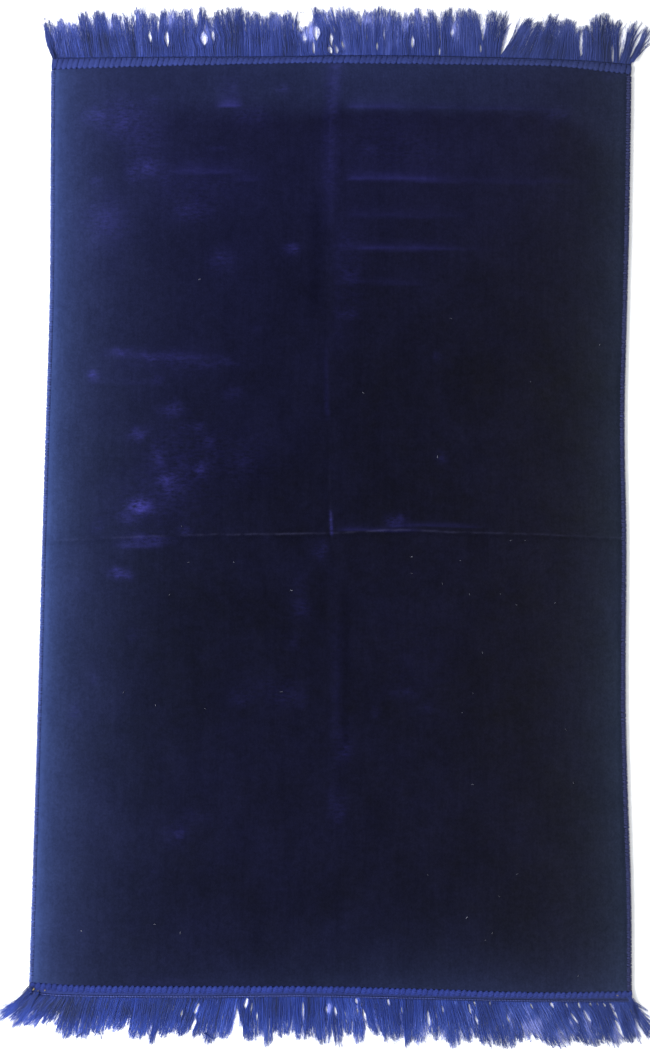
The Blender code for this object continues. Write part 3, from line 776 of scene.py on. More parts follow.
# The nap leans so that the far part of the rug looks violet, and the rest almost black.
turned_right = ramp(px, -30.0, 30.0)
violet = 0.9 * ramp(py, -20.0, 470.0) * (1.0 - turned_right) + ramp(py, 170.0, 480.0) * turned_right
violet -= 0.30 * bump(px + 190.0, 90.0) * bump(py + 150.0, 110.0)
violet *= 1.0 - 0.5 * ramp(px, 200.0, 330.0)
violet += 0.20 * hills(px, py, 55.0, 49) + 0.14 * hills(px, py, 21.0, 50)
paint(pile_mesh, "violet", violet.clip(-0.35, 1.4))
print("masks:", [layer.name for layer in pile_mesh.attributes if layer.domain == "POINT"][-6:])

# %% [markdown]
# The velvet itself needs very little gloss. Its navy is mixed from two naps, a neutral one and a violet
# one, and made uneven with clouds and long faint streaks. On that lie the masks of the step before.
# Sheen on the shader gives the pale bloom that velvet has where it is seen at a low angle.

# %% Velvet
velvet, tree, shader = new_cloth("navy_velvet", 0.95, 0.035, (0.35, 0.42, 0.95))
shader.inputs["Specular IOR Level"].default_value = 0.0
where = put(tree, "TexCoord").outputs["Object"]
mottles = place_group(tree, cloudy, {
    "Vector": where, "Patches per metre": 75.0, "Long way": 1.4, "Depth": 0.55})
clouds = place_group(tree, cloudy, {
    "Vector": where, "Patches per metre": 28.0, "Long way": 0.6, "Depth": 0.20})
streaks = place_group(tree, cloudy, {
    "Vector": where, "Patches per metre": 210.0, "Long way": 0.07, "Depth": 0.15})
fibres = place_group(tree, grain, {"Vector": where, "Fibres per metre": 420.0, "Depth": 0.30})
tufted = place_group(tree, grain, {"Vector": where, "Fibres per metre": 170.0, "Depth": 0.22})
flecks = place_group(tree, cloudy, {
    "Vector": where, "Patches per metre": 150.0, "Long way": 2.4, "Depth": 2.2})
flecked = reckon(tree, "MAXIMUM", flecks.outputs["Shade"], 0.05)

# The nap: neutral navy, and more or less violet over it in mottles.
mottled = reckon(tree, "MULTIPLY_ADD", mottles.outputs["Shade"], 0.8, read_mask(tree, "violet"))
mottled = reckon(tree, "SUBTRACT", mottled, 0.8)
colour = blend_colours(tree, "ADD", 1.0, (0.0033, 0.0034, 0.0100, 1.0),
                       scaled_colour(tree, mottled, (0.0014, 0.0015, 0.0080, 1.0)))
# What each mask adds where it is 1. The last two lie over the pattern of the nap.
# The four masks here are painted light and glare: paler edges, most on the left, and a greyer haze towards
# the right.
MASK_COLOURS = (
    ("painted_edge_light_and_combing", (0.0112, 0.0169, 0.0454, 1.0)),
    ("painted_left_rim_light", (0.0075, 0.0166, 0.0567, 1.0)),
    ("painted_right_rim_glare", (0.0055, 0.0108, 0.0244, 1.0)),
    ("painted_right_glare", (0.0056, 0.0050, 0.0010, 1.0)))
for name, added in MASK_COLOURS:
    colour = blend_colours(tree, "ADD", 1.0, colour, scaled_colour(tree, read_mask(tree, name), added))
for pattern in (clouds, streaks, fibres, tufted):
    colour = scaled_colour(tree, pattern.outputs["Shade"], colour)
for name, added, pattern in (
        ("bruised", (0.0069, 0.0062, 0.0412, 1.0), flecked),
        ("banded", (0.0075, 0.0068, 0.0450, 1.0), tufted.outputs["Shade"]),
        ("parted", (0.0090, 0.0090, 0.0190, 1.0), fibres.outputs["Shade"])):
    share = reckon(tree, "MULTIPLY", read_mask(tree, name), pattern)
    colour = blend_colours(tree, "ADD", 1.0, colour, scaled_colour(tree, share, added))
kept = reckon(tree, "SUBTRACT", 1.0, read_mask(tree, "dark"))
colour = blend_colours(tree, "MULTIPLY", 1.0, colour, kept)
tree.links.new(colour, shader.inputs["Base Color"])
add_bump(tree, shader, fibres.outputs["Height"], 0.5, 0.0006)

# %% Ground cloth, on the underside
ground_cloth, tree, shader = new_cloth("ground_cloth", 0.9, 0.0, (1.0, 1.0, 1.0))
where = put(tree, "TexCoord").outputs["Object"]
weave = put(tree, "TexBrick", {
    "Vector": where, "Scale": 260.0, "Color1": (0.020, 0.022, 0.055, 1.0),
    "Color2": (0.030, 0.033, 0.075, 1.0), "Mortar": (0.006, 0.007, 0.018, 1.0),
    "Mortar Size": 0.06, "Brick Width": 0.9, "Row Height": 0.5})
tree.links.new(weave.outputs["Color"], shader.inputs["Base Color"])
add_bump(tree, shader, weave.outputs["Fac"], 0.4, -0.0003)

pile = add_piece("pile_panel_velvet", pile_mesh, (velvet, ground_cloth), "pile_panel")

# %% [markdown]
# ## The yarns
# The whipping, the ribs and the seam are all spun from the same royal blue fibre, and differ in how hard
# they are twisted and in their colour. Part of that is painted light: the left whipping is painted lit, the
# right one painted shaded, and the near seam thread paler in part as its painted highlight. One function
# makes them all. The plies of the twist are the yarn_twist group, and single stitches differ a little, by a
# number that each one carries. The yarns turn greyer towards the right.

# %% Yarn finish
def yarn_finish(name, deep_colour, pale_colour, plies, sheen):
    """A twisted yarn: deep colour in its grooves and in its darker stitches, pale on the rest."""
    material, tree, shader = new_cloth(name, 0.85, sheen, (0.5, 0.6, 1.0))
    where = put(tree, "TexCoord").outputs["Object"]
    turns = place_group(tree, twist, {"Vector": where, "Plies per metre": plies, "Depth": 0.35})
    faded = place_group(tree, cloudy, {
        "Vector": where, "Patches per metre": 45.0, "Long way": 1.0, "Depth": 0.35})
    share = reckon(tree, "MULTIPLY", read_mask(tree, "tone"), turns.outputs["Shade"])
    share = reckon(tree, "MULTIPLY", share, faded.outputs["Shade"])
    colour = put(tree, "Mix", {0: share, 6: deep_colour, 7: pale_colour},
                 data_type="RGBA", clamp_factor=True).outputs[2]
    tree.links.new(greyed_towards_right(tree, where, colour), shader.inputs["Base Color"])
    add_bump(tree, shader, turns.outputs["Height"], 0.6, 0.0003)
    return material


# Painted light: the two whippings are copies of one yarn, painted paler on the left, where the window lights
# it, and darker on the right, in shade.
whipping_painted_lit = yarn_finish("whipping_yarn_left_painted_lit", (0.012, 0.018, 0.070, 1.0),
                            (0.045, 0.070, 0.235, 1.0), 420.0, 0.10)
whipping_painted_shade = yarn_finish("whipping_yarn_right_painted_shade", (0.002, 0.002, 0.034, 1.0),
                             (0.033, 0.039, 0.139, 1.0), 420.0, 0.06)
rib_yarn_far = yarn_finish("rib_yarn_far", (0.010, 0.015, 0.066, 1.0),
                           (0.030, 0.046, 0.200, 1.0), 420.0, 0.06)
rib_yarn_near = yarn_finish("rib_yarn_near", (0.007, 0.012, 0.062, 1.0),
                            (0.022, 0.039, 0.226, 1.0), 420.0, 0.05)
band_yarn = yarn_finish("band_yarn", (0.006, 0.010, 0.045, 1.0),
                        (0.026, 0.042, 0.190, 1.0), 500.0, 0.03)
# Painted highlight: the near seam thread is painted paler than the rib yarn, in part.
seam_yarn_with_painted_highlight = yarn_finish("seam_yarn_with_painted_highlight", (0.040, 0.058, 0.220, 1.0),
                        (0.085, 0.110, 0.360, 1.0), 700.0, 0.05)
# Painted shadow: a dark yarn for the thin dark line beside the seam thread.
shadow_yarn = yarn_finish("shadow_yarn", (0.006, 0.010, 0.044, 1.0),
                          (0.016, 0.025, 0.105, 1.0), 700.0, 0.0)

# %% [markdown]
# ## The side whipping
# Along each long side an overlock machine has thrown yarn round the cut edge, stitch after stitch, two
# millimetres apart. A ribbed texture on a bar would look right from above only, so each stitch is a short
# arc of yarn. It rises from the floor outside the edge, passes over it, and dives into the pile. A low bar
# under the stitches closes the gaps between them.

# %% Core bar and stitches
STITCH_PITCH = 2.0
STITCH_RADIUS = 0.78
STITCH_LEAN = 1.1
STITCH_THICKNESS = (0.55, 0.9, 1.0, 1.05, 1.0, 0.85, 0.5)    # at each point of its arch
YARN_SIDES = 5
CORE_ARCH = ((0.0, 0.35), (0.10, 1.9), (0.30, 2.7), (0.55, 2.9), (0.80, 2.6), (1.0, 1.4))
STITCH_ARCH = (
    (0.00, 0.60), (-0.06, 1.50), (0.12, 2.75), (0.45, 3.40), (0.80, 3.30), (1.08, 2.95), (1.26, 2.20))


def build_whipping(node, edge, inward, material, seed):
    """One long side: a core bar, and the stitches thrown over it."""
    rng = np.random.default_rng(seed)
    rim = edge[0][1] + inward * BINDING_WIDTH / 2.0
    start = float(smooth_read(NEAR_PILE, rim))
    stop = float(smooth_read(FAR_PILE, rim))
    arch = np.array(CORE_ARCH)

    def place_core(share, y):
        x = smooth_read(edge, y) + inward * (0.3 + share * (BINDING_WIDTH - 0.3))
        return x, y, np.interp(share, arch[:, 0], arch[:, 1])

    core = finish_mesh(lay_grid(arch[:, 0], spaced((start, stop), 12.0), place_core), node + "_core")
    paint(core, "tone", np.full(len(core.vertices), 0.3))
    add_piece(node + "_core", core, (material, material), node)

    count = int((stop - start - 1.0) / STITCH_PITCH)
    y = start + 1.0 + (np.arange(count) + 0.25 * rng.uniform(-1.0, 1.0, count)) * STITCH_PITCH
    reach = 1.0 + 0.10 * rng.uniform(-1.0, 1.0, count)
    across, height = np.array(STITCH_ARCH).T
    x = smooth_read(edge, y)[:, None] + inward * BINDING_WIDTH * across * reach[:, None]
    lean = STITCH_LEAN * np.linspace(-0.5, 0.5, len(across))
    path = np.stack([x, y[:, None] + lean + 0.0 * x, height + 0.0 * x], axis=2)
    path[:, :, 2] += 0.12 * rng.uniform(-1.0, 1.0, (count, 1))
    thick = STITCH_RADIUS * np.array(STITCH_THICKNESS)
    radii = thick * (1.0 + 0.10 * rng.uniform(-1.0, 1.0, (count, 1)))
    stitches = joined_tubes(node + "_stitches", path, radii, YARN_SIDES, (0.0, 1.0, 0.0))
    tone = 0.72 + 0.22 * rng.uniform(-1.0, 1.0, count) + 0.15 * hills(0.0 * y, y, 25.0, seed)
    paint(stitches, "tone", per_tube(tone, len(across), YARN_SIDES))
    add_piece(node + "_stitches", stitches, (material,), node)


build_whipping("binding_left", LEFT_EDGE, 1.0, whipping_painted_lit, 51)
build_whipping("binding_right", RIGHT_EDGE, -1.0, whipping_painted_shade, 52)

# %% [markdown]
# ## The ribbed headings
# Across each short end the whipping is coarser: six and a half millimetres to a rib, each rib a flat bundle
# of yarns that lean to the right. Their rounded heads bite over the edge of the pile, and towards the
# fringe they flatten out under a line of seam thread. Each rib is made as five yarns side by side, the
# outer ones given a darker tone as painted shade on the rib's sides, and a low band under them, also
# darker in tone, is painted shade in their grooves.

# %% Band and ribs
RIB_PITCH = 6.5
RIB_SLANT = 3.0            # how far a rib leans to the right from its near end to its far end
YARNS = 5                  # yarns side by side in a rib
YARN_STEP = 1.24
HEAD_BITE = 0.5            # how far the rounded heads reach into the pile
YARN_RADIUS = 0.70
# Along a rib, from inside the pile to the seam: share of the way, height, and thickness.
RIB_LINE = (
    (-0.16, 2.20, 0.60), (-0.08, 3.25, 0.85), (0.03, 3.60, 1.00), (0.22, 3.65, 1.08),
    (0.45, 3.35, 1.05), (0.62, 2.90, 0.95), (0.76, 2.35, 0.80), (0.86, 1.75, 0.60))
BAND_LINE = ((0.0, 1.6), (0.2, 2.5), (0.5, 2.4), (0.75, 1.9), (0.9, 1.5), (1.0, 1.0))
# How full the ribs stand along each end: X, fullness.
FAR_FULL = (
    (-352, 0.7), (-320, 1.0), (-200, 1.0), (-160, 0.8), (-100, 0.75), (-30, 1.0),
    (80, 1.0), (130, 0.75), (240, 0.7), (300, 0.85), (355, 0.7))
NEAR_FULL = ((-352, 0.35), (-325, 0.5), (-300, 1.0), (-100, 1.0), (100, 0.95), (354, 0.9))


def outward_of(seam_line):
    """The way out of the rug at a seam: 1 at the far end and -1 at the near end."""
    return 1.0 if seam_line[0][1] > 0.0 else -1.0


def across_heading(pile_line, seam_line, x, share):
    """The Y of a place on a heading: 0 is the pile's edge and 1 the seam."""
    edge = smooth_read(pile_line, x) + outward_of(seam_line) * PART_GAP
    return edge + share * (smooth_read(seam_line, x) - edge)


def build_heading(node, pile_line, seam_line, full_line, rib_end, round_off, brighten, material, seed):
    """One short end: the low band and the ribs over it."""
    rng = np.random.default_rng(seed)
    outward = outward_of(seam_line)
    left, right = seam_line[0][0], seam_line[-1][0]
    ribs = round((right - left) / RIB_PITCH)
    pitch = (right - left) / ribs
    band = np.array(BAND_LINE if outward > 0.0 else BAND_LINE[::-1])

    def place_band(x, number):
        share, high = band[number.astype(int)].T
        return x, across_heading(pile_line, seam_line, x, share), high

    columns = np.linspace(left, right, 2 * ribs + 1)
    low = finish_mesh(lay_grid(columns, np.arange(float(len(band))), place_band), node + "_band")
    # Painted shade: the band's low tone darkens the grooves between the ribs.
    paint(low, "tone", np.full(len(low.vertices), 0.4))
    add_piece(node + "_band", low, (band_yarn, band_yarn), node)

    share, high, thick = np.array(RIB_LINE).T
    share = np.where(share > 0.0, share * rib_end, share * HEAD_BITE)
    rib, yarn = [grid.ravel() for grid in np.meshgrid(np.arange(ribs), np.arange(YARNS), indexing="ij")]
    jitter = rng.uniform(-1.0, 1.0, (3, ribs))
    full = smooth_read(full_line, left + (rib + 0.5) * pitch)
    side = yarn - (YARNS - 1) / 2.0
    middle = left + (rib + 0.5 + 0.05 * jitter[0, rib]) * pitch
    # The outer yarns of a rib start later and lie lower, which rounds its head.
    later = 0.030 * side ** 2
    shares = share + (later + 0.03 * jitter[1, rib])[:, None] * (1.0 - ramp(share, 0.0, 0.5))
    lean = RIB_SLANT * outward * (shares - 0.5)
    x = middle[:, None] + side[:, None] * YARN_STEP * (1.0 - 0.12 * ramp(share, 0.5, 0.9)) + lean
    x = np.clip(x, left + 0.4, right - 0.4)
    y = across_heading(pile_line, seam_line, x, shares)
    lower = (round_off * side ** 2 + 0.9 * (1.0 - full))[:, None] * ramp(share, -0.2, 0.1)
    z = high * (1.0 + 0.04 * jitter[2, rib])[:, None] - lower
    radii = YARN_RADIUS * thick * (1.0 + 0.06 * rng.uniform(-1.0, 1.0, (len(rib), 1)))
    mesh = joined_tubes(node + "_ribs", np.stack([x, y, z], axis=2), radii, YARN_SIDES)
    # Painted shade: the outer yarns of each rib are given a lower tone.
    tone = 0.72 + brighten * middle / HALF_WIDTH - 0.032 * side ** 2
    tone += 0.10 * jitter[1, rib] + 0.08 * rng.uniform(-1.0, 1.0, len(rib))
    paint(mesh, "tone", per_tube(tone * (0.65 + 0.35 * full), len(share), YARN_SIDES))
    add_piece(node + "_ribs", mesh, (material,), node)


build_heading("heading_far", FAR_PILE, FAR_SEAM, FAR_FULL, 1.12, 0.05, 0.0, rib_yarn_far, 61)
build_heading("heading_near", NEAR_PILE, NEAR_SEAM, NEAR_FULL, 0.80, 0.09, 0.26, rib_yarn_near, 62)

# %% [markdown]
# The seam is a running line of thread just inside the fringe, with a thin dark line on its far side. At
# the near end the thread is pale, partly as its painted highlight, and at the far end it is as dark as the
# ribs. The dark line is too thin to come from a cast shadow alone, so both are modelled: a thread that
# stands up in short stitches, and a darker one that lies lower beside it as painted shadow.

# %% Seam threads
SEAM_STITCH = 3.2
SEAM_HEIGHT = 1.75
SEAM_SIDES = 4
SEAM_POINTS = 4            # in each stitch
SHADOW_ASIDE = 1.15        # how far the painted shadow thread lies beyond the seam thread


def build_seam(node, pile_line, seam_line, ending, share, aside, rise, radius, material, seed):
    """One thread along a heading, made of short stitches that rise and dip."""
    rng = np.random.default_rng(seed)
    left, right = seam_line[0][0] + 2.0, seam_line[-1][0] - 2.0
    count = int((right - left) / SEAM_STITCH)
    start = left + np.arange(count) * (right - left) / count
    t = np.linspace(0.0, 1.0, SEAM_POINTS)
    x = start[:, None] + t * SEAM_STITCH * 1.06
    y = across_heading(pile_line, seam_line, x, share) + aside
    y += 0.12 * rng.uniform(-1.0, 1.0, (count, 1))
    z = SEAM_HEIGHT + rise * np.sin(math.pi * t) * (1.0 + 0.3 * rng.uniform(-1.0, 1.0, (count, 1)))
    radii = radius * (0.6 + 0.4 * np.sin(math.pi * t)) * np.ones((count, 1))
    mesh = joined_tubes(node + ending, np.stack([x, y, z], axis=2), radii, SEAM_SIDES)
    tone = 0.65 + 0.30 * hills(start, start, 30.0, seed) + 0.15 * rng.uniform(-1.0, 1.0, count)
    paint(mesh, "tone", per_tube(tone, SEAM_POINTS, SEAM_SIDES))
    add_piece(node + ending, mesh, (material,), node)


for node, pile_line, seam_line, share, yarn, seed in (
        ("heading_far", FAR_PILE, FAR_SEAM, 0.92, rib_yarn_far, 71),
        ("heading_near", NEAR_PILE, NEAR_SEAM, 0.97, seam_yarn_with_painted_highlight, 73)):
    build_seam(node, pile_line, seam_line, "_seam", share, 0.0, 0.35, 0.42, yarn, seed)
    build_seam(node, pile_line, seam_line, "_seam_shadow", share, SHADOW_ASIDE, 0.2, 0.40,
               shadow_yarn, seed + 1)

# %% [markdown]
# ## The fringes
# A fringe is bought as a tape with fine threads hanging from it. Use has parted these threads into clumps,
# and each clump has its own lean and its own length. Hair particles could be combed into that, but they
# can't be exported. So the threads are tubes whose roots are spread evenly along the tape, and whose tips
# are gathered by the same table of clumps that the solids were made from. Neighbouring clumps lie together
# for most of their length, and part only towards their tips.
#
# Within a clump the threads fall into locks a few millimetres wide. Each lock has its own length and tone,
# and its threads draw together towards their tips. Then the slits that show the floor are opened: every
# thread is put on one side of each slit, and bows away from it. Each fringe has two such layers of threads,
# and low among them lie finer, wilder and paler wisps. A last table darkens some patches of threads, and
# pales others.

# %% The clumps: root to, tip from, tip to, reach
FAR_FRINGE_FROM = -352.0
FAR_FRINGE = (
    (-343, -364, -351, 46), (-328, -350, -336, 52), (-313, -335, -324, 47),
    (-299, -322, -308, 58), (-274, -302, -290, 58), (-260, -282, -272, 57),
    (-249, -270, -253, 56), (-236, -252, -241, 61), (-223, -239, -226, 57),
    (-206, -222, -210, 58), (-192, -209, -199, 61), (-177, -196, -179, 60),
    (-164, -176, -168, 61), (-152, -166, -158, 53), (-108, -157, -110, 60),
    (-91, -109, -96, 55), (-50, -93, -54, 56), (-35, -50, -36, 38),
    (-10, -34, -21, 59), (26, -20, 22, 60), (76, 26, 75, 59),
    (90, 76, 88, 53), (102, 89, 98, 60), (121, 100, 117, 57),
    (141, 125, 140, 58), (175, 141, 171, 60), (197, 175, 209, 59),
    (218, 221, 234, 50), (239, 235, 250, 45), (259, 251, 268, 55),
    (285, 269, 286, 50), (305, 288, 306, 44), (335, 307, 339, 58),
    (343, 340, 348, 53), (350, 350, 366, 53), (355, 367, 381, 49))
NEAR_FRINGE_FROM = -354.0
NEAR_FRINGE = (
    (-346, -392, -378, 33), (-335, -377, -362, 38), (-320, -361, -342, 37),
    (-308, -338, -324, 34), (-289, -322, -302, 48), (-271, -300, -281, 48),
    (-254, -279, -265, 43), (-231, -264, -238, 39), (-207, -237, -213, 48),
    (-196, -212, -205, 54), (-170, -204, -181, 45), (-156, -179, -167, 46),
    (-140, -164, -148, 47), (-126, -147, -134, 52), (-107, -128, -114, 49),
    (-79, -105, -79, 49), (-67, -78, -69, 56), (-44, -68, -44, 45),
    (-20, -43, -20, 49), (1, -19, 3, 53), (10, 6, 16, 55),
    (22, 18, 28, 44), (36, 29, 44, 52), (50, 47, 58, 42),
    (83, 59, 88, 50), (95, 89, 96, 55), (111, 97, 112, 51),
    (125, 115, 132, 46), (144, 135, 154, 54), (165, 156, 174, 46),
    (214, 176, 231, 53), (226, 234, 246, 44), (266, 248, 287, 51),
    (306, 288, 324, 49), (324, 325, 344, 51), (343, 347, 364, 46),
    (356, 365, 382, 47))

# %% The slits: root end X and distance from the seam, tip end X and distance, width
FAR_SLITS = (
    (-228, 18, -237, 35, 3.0), (-209, 14, -215, 34, 4.2), (-206, 13, -209, 18, 2.4),
    (-166, 15, -167, 33, 8.4), (-157, 19, -156, 40, 3.0), (-44, 17, -41, 32, 4.2),
    (-32, 3, -33, 21, 3.0), (-30, 21, -29, 41, 7.2), (-12, 3, -12, 13, 4.8),
    (-12, 13, -10, 30, 3.0), (-4, 3, -5, 15, 3.0), (3, 9, 3, 19, 2.4),
    (44, 8, 46, 18, 1.8), (53, 25, 53, 34, 3.0), (88, 10, 88, 25, 3.0),
    (121, 1, 121, 12, 1.8), (136, 24, 137, 41, 4.2), (175, 20, 175, 46, 3.6),
    (172, 6, 171, 17, 2.4), (195, 2, 214, 53, 8.4), (222, 14, 228, 19, 1.8),
    (235, 14, 240, 19, 1.8), (295, 6, 292, 39, 3.6), (333, 2, 334, 25, 2.4),
    (340, 3, 349, 51, 6.6), (354, 9, 366, 41, 2.4))
NEAR_SLITS = (
    (-151, 6, -160, 21, 2.4), (-153, 25, -166, 43, 3.0), (-169, 14, -177, 24, 1.8),
    (-206, 30, -213, 43, 1.8), (-108, 11, -108, 52, 7.2), (-95, 2, -101, 14, 3.6),
    (-90, 8, -92, 17, 1.8), (-84, 18, -86, 28, 1.8), (-123, 21, -126, 28, 1.8),
    (-31, 6, -31, 28, 2.4), (-31, 33, -32, 44, 2.4), (-1, 10, -5, 21, 1.8),
    (6, 11, 8, 21, 3.0), (31, 1, 32, 8, 3.0), (32, 13, 34, 19, 2.4),
    (26, 28, 29, 37, 1.8), (40, 16, 43, 27, 1.8), (43, 33, 46, 49, 4.8),
    (68, 0, 70, 9, 3.0), (85, 11, 85, 18, 1.8), (115, 13, 118, 36, 2.4),
    (133, 8, 133, 17, 1.8), (164, 4, 165, 18, 2.4), (170, 0, 170, 7, 1.8),
    (172, 19, 173, 29, 2.4), (188, 1, 188, 6, 1.8), (207, 15, 211, 26, 1.8),
    (236, 3, 238, 9, 2.4), (237, 34, 239, 50, 4.8), (260, 1, 261, 8, 3.6),
    (277, 1, 279, 8, 1.8), (282, 12, 294, 31, 3.0), (280, 20, 287, 30, 2.4),
    (292, 1, 293, 8, 3.0), (297, 9, 308, 28, 3.6), (308, 29, 310, 34, 2.4),
    (315, 34, 318, 41, 2.4), (306, 2, 307, 6, 3.0), (314, 2, 316, 6, 3.0),
    (321, 2, 324, 7, 3.0), (328, 2, 334, 10, 3.0), (334, 10, 337, 21, 3.0),
    (336, 19, 344, 42, 3.6), (355, 9, 369, 47, 7.0))
# Darker and paler patches of threads: middle X, middle distance from the seam,
# half width, half length, what it adds to the tone.
FAR_SHADES = (
    (-313, 27, 15, 9, -0.20), (-281, 20, 14, 12, -0.16), (-225, 12, 6, 7, -0.14),
    (-124, 42, 28, 13, -0.14), (-101, 23, 9, 9, -0.14), (-339, 45, 12, 5, 0.45), (-339, 9, 6, 5, 0.15),
    (-282, 40, 5, 7, 0.35), (-209, 48, 7, 8, 0.50), (-165, 26, 10, 10, 0.38), (-73, 49, 21, 8, 0.35),
    (-36, 30, 10, 11, 0.50), (-266, 15, 4, 8, 0.12), (8, 45, 17, 10, -0.14), (253, 29, 9, 10, -0.20),
    (318, 29, 17, 18, -0.22), (195, 36, 12, 14, -0.14), (358, 25, 6, 15, -0.10), (32, 49, 6, 9, 0.35),
    (79, 40, 5, 7, 0.35), (122, 51, 5, 7, 0.35), (140, 30, 8, 15, 0.42), (176, 38, 4, 15, 0.60),
    (276, 47, 12, 7, 0.42), (66, 16, 6, 6, 0.16), (88, 16, 4, 7, 0.30))
NEAR_SHADES = (
    (-312, 16, 46, 14, -0.26), (-236, 18, 11, 8, -0.22), (-205, 14, 16, 12, -0.12),
    (-260, 21, 14, 15, 0.10), (-152, 16, 13, 10, 0.34), (-108, 20, 4, 19, 0.50), (-97, 8, 3, 7, 0.45),
    (-86, 21, 3, 10, 0.35), (-55, 32, 7, 5, 0.14), (-30, 18, 3, 17, 0.34), (-1, 15, 3, 8, 0.35),
    (2, 12, 6, 7, 0.38), (32, 5, 3, 9, 0.38), (33, 23, 11, 8, 0.24), (85, 10, 3, 13, 0.32),
    (118, 26, 7, 12, 0.45), (147, 3, 4, 3, 0.30), (171, 16, 5, 13, 0.38), (212, 17, 4, 9, 0.38),
    (233, 21, 7, 17, 0.26), (287, 23, 7, 11, 0.42), (302, 22, 5, 13, 0.42), (337, 26, 7, 22, 0.42),
    (113, 37, 5, 5, 0.30), (363, 26, 6, 15, 0.30),
    (220, 22, 46, 15, 0.13), (-45, 22, 28, 16, -0.08))
OPEN_FROM = 43.0           # a slit that ends further out than this stays open to the tips
SLIT_WIDENS = 1.3          # the threads' own thickness narrows a slit, so it is opened this much wider
SLIT_LEAST = 0.6
print(len(FAR_SLITS) + len(NEAR_SLITS), "slits")


def open_slits(x, out, slits):
    """Moves the threads' points sideways, so that each slit shows the floor."""
    for root_x, root_out, tip_x, tip_out, width in slits:
        width = SLIT_WIDENS * width + SLIT_LEAST
        way = (out - root_out) / (tip_out - root_out)
        middle = root_x + way * (tip_x - root_x)
        weight = np.exp(-4.0 * (way - 0.5) ** 2)
        side = np.where(np.sum(weight * (x - middle), axis=1, keepdims=True) < 0.0, -1.0, 1.0)
        inside = np.clip(way, 0.0, 1.0)
        half = 0.5 * width * np.sqrt(np.sin(math.pi * inside).clip(0.0, 1.0))
        if tip_out > OPEN_FROM:
            half = 0.5 * width * np.sqrt(ramp(way, 0.0, 0.8))
        away = np.maximum(side * (x - middle), 0.0)
        moved = middle + side * (away + half * np.exp(-away / (2.0 * width)))
        x = np.where((half > 0.02) & (np.abs(x - middle) < 6.0 * width), moved, x)
    return x


def shaded(x, out, rows):
    """What the dark and pale patches add to the tone of a fringe."""
    total = np.zeros_like(x)
    for middle_x, middle_out, across, along, strength in rows:
        total += strength * bump(x - middle_x, 0.8 * across) * bump(out - middle_out, along)
    return total


# %% Gather the threads in clumps and locks
# Where a thread's points lie along it: closer together at the root, where the small slits are.
THREAD_STEPS = np.array((0.0, 0.05, 0.11, 0.19, 0.30, 0.44, 0.60, 0.79, 1.0))
THREAD_POINTS = len(THREAD_STEPS)
THREAD_SIDES = 3
MOST_LOCKS = 400
MOST_CLUMPS = 60
LOCK_WIDE = (2.4, 6.5)     # the narrowest and the widest lock at the tape
LOCK_PULL = (0.20, 0.45)   # how far a lock draws together, and how much further some do
LOCK_SHORTER = 0.16        # the share by which the shortest lock is cut off
LOCK_BOW = 1.3             # the furthest that a lock bows aside
CLUMP_ROUNDING = 0.13      # a clump's outer threads are shorter by this share
LONGEST, UNEVEN = 1.10, 0.26    # the longest thread's share of its clump's reach, and the range
LOOSE_LENGTH = (0.55, 0.92)     # the shares of its length that a loose thread keeps


def gather_threads(rng, clumps, start, count, wild, loose_share):
    """Where the threads of one layer start, and how they gather in clumps and locks."""
    root_to, tip_from, tip_to, reach = np.array(clumps, float).T
    root_from = np.concatenate([[start], root_to[:-1]])
    root = start + (root_to[-1] - start) * (np.arange(count) + rng.random(count)) / count
    clump = np.clip(np.searchsorted(root_to, root), 0, len(clumps) - 1)
    share = (root - root_from[clump]) / (root_to[clump] - root_from[clump])

    bounds = start + np.cumsum(rng.uniform(*LOCK_WIDE, MOST_LOCKS))
    lock = np.searchsorted(bounds, root)
    lock_share = np.array([share[(lock == number) & (clump == group)].mean()
                           for number, group in zip(lock, clump)])
    pull = (LOCK_PULL[0] + LOCK_PULL[1] * rng.random(MOST_LOCKS)[lock]) * (lock_share - share)
    lock_length = 1.0 - LOCK_SHORTER * rng.random(MOST_LOCKS)[lock] ** 2
    lock_bow = LOCK_BOW * rng.uniform(-1.0, 1.0, MOST_LOCKS)[lock]

    # Neighbouring clumps stay together for most of their length, and part only towards their tips.
    between = np.concatenate([tip_from[:1], (tip_to[:-1] + tip_from[1:]) / 2.0, tip_to[-1:]])
    joined = between[clump] + share * (between[clump + 1] - between[clump])
    own = tip_from[clump] + (share + pull) * (tip_to[clump] - tip_from[clump])
    loose = rng.random(count) < loose_share
    parting = np.where(loose, 0.0, own - joined) + wild * 1.5 * rng.normal(0.0, 1.0, count)
    rounded = 1.0 - CLUMP_ROUNDING * np.abs(2.0 * share - 1.0) ** 3
    length = reach[clump] * rounded * lock_length * (LONGEST - UNEVEN * rng.random(count) ** 1.7)
    length *= np.where(loose, rng.uniform(*LOOSE_LENGTH, count), 1.0)
    return root, clump, lock, loose, joined, parting, length, lock_bow


# %% Comb the threads out from the tape
TAPE_INSIDE = 0.8          # how deep in the tape a thread starts
# How far a thread strays aside where the wildness is 1: its waves, its unevenness and its hooked tip.
SWING = 1.1
JITTER, TIP_JITTER = 0.45, 0.7
HOOK = 2.6


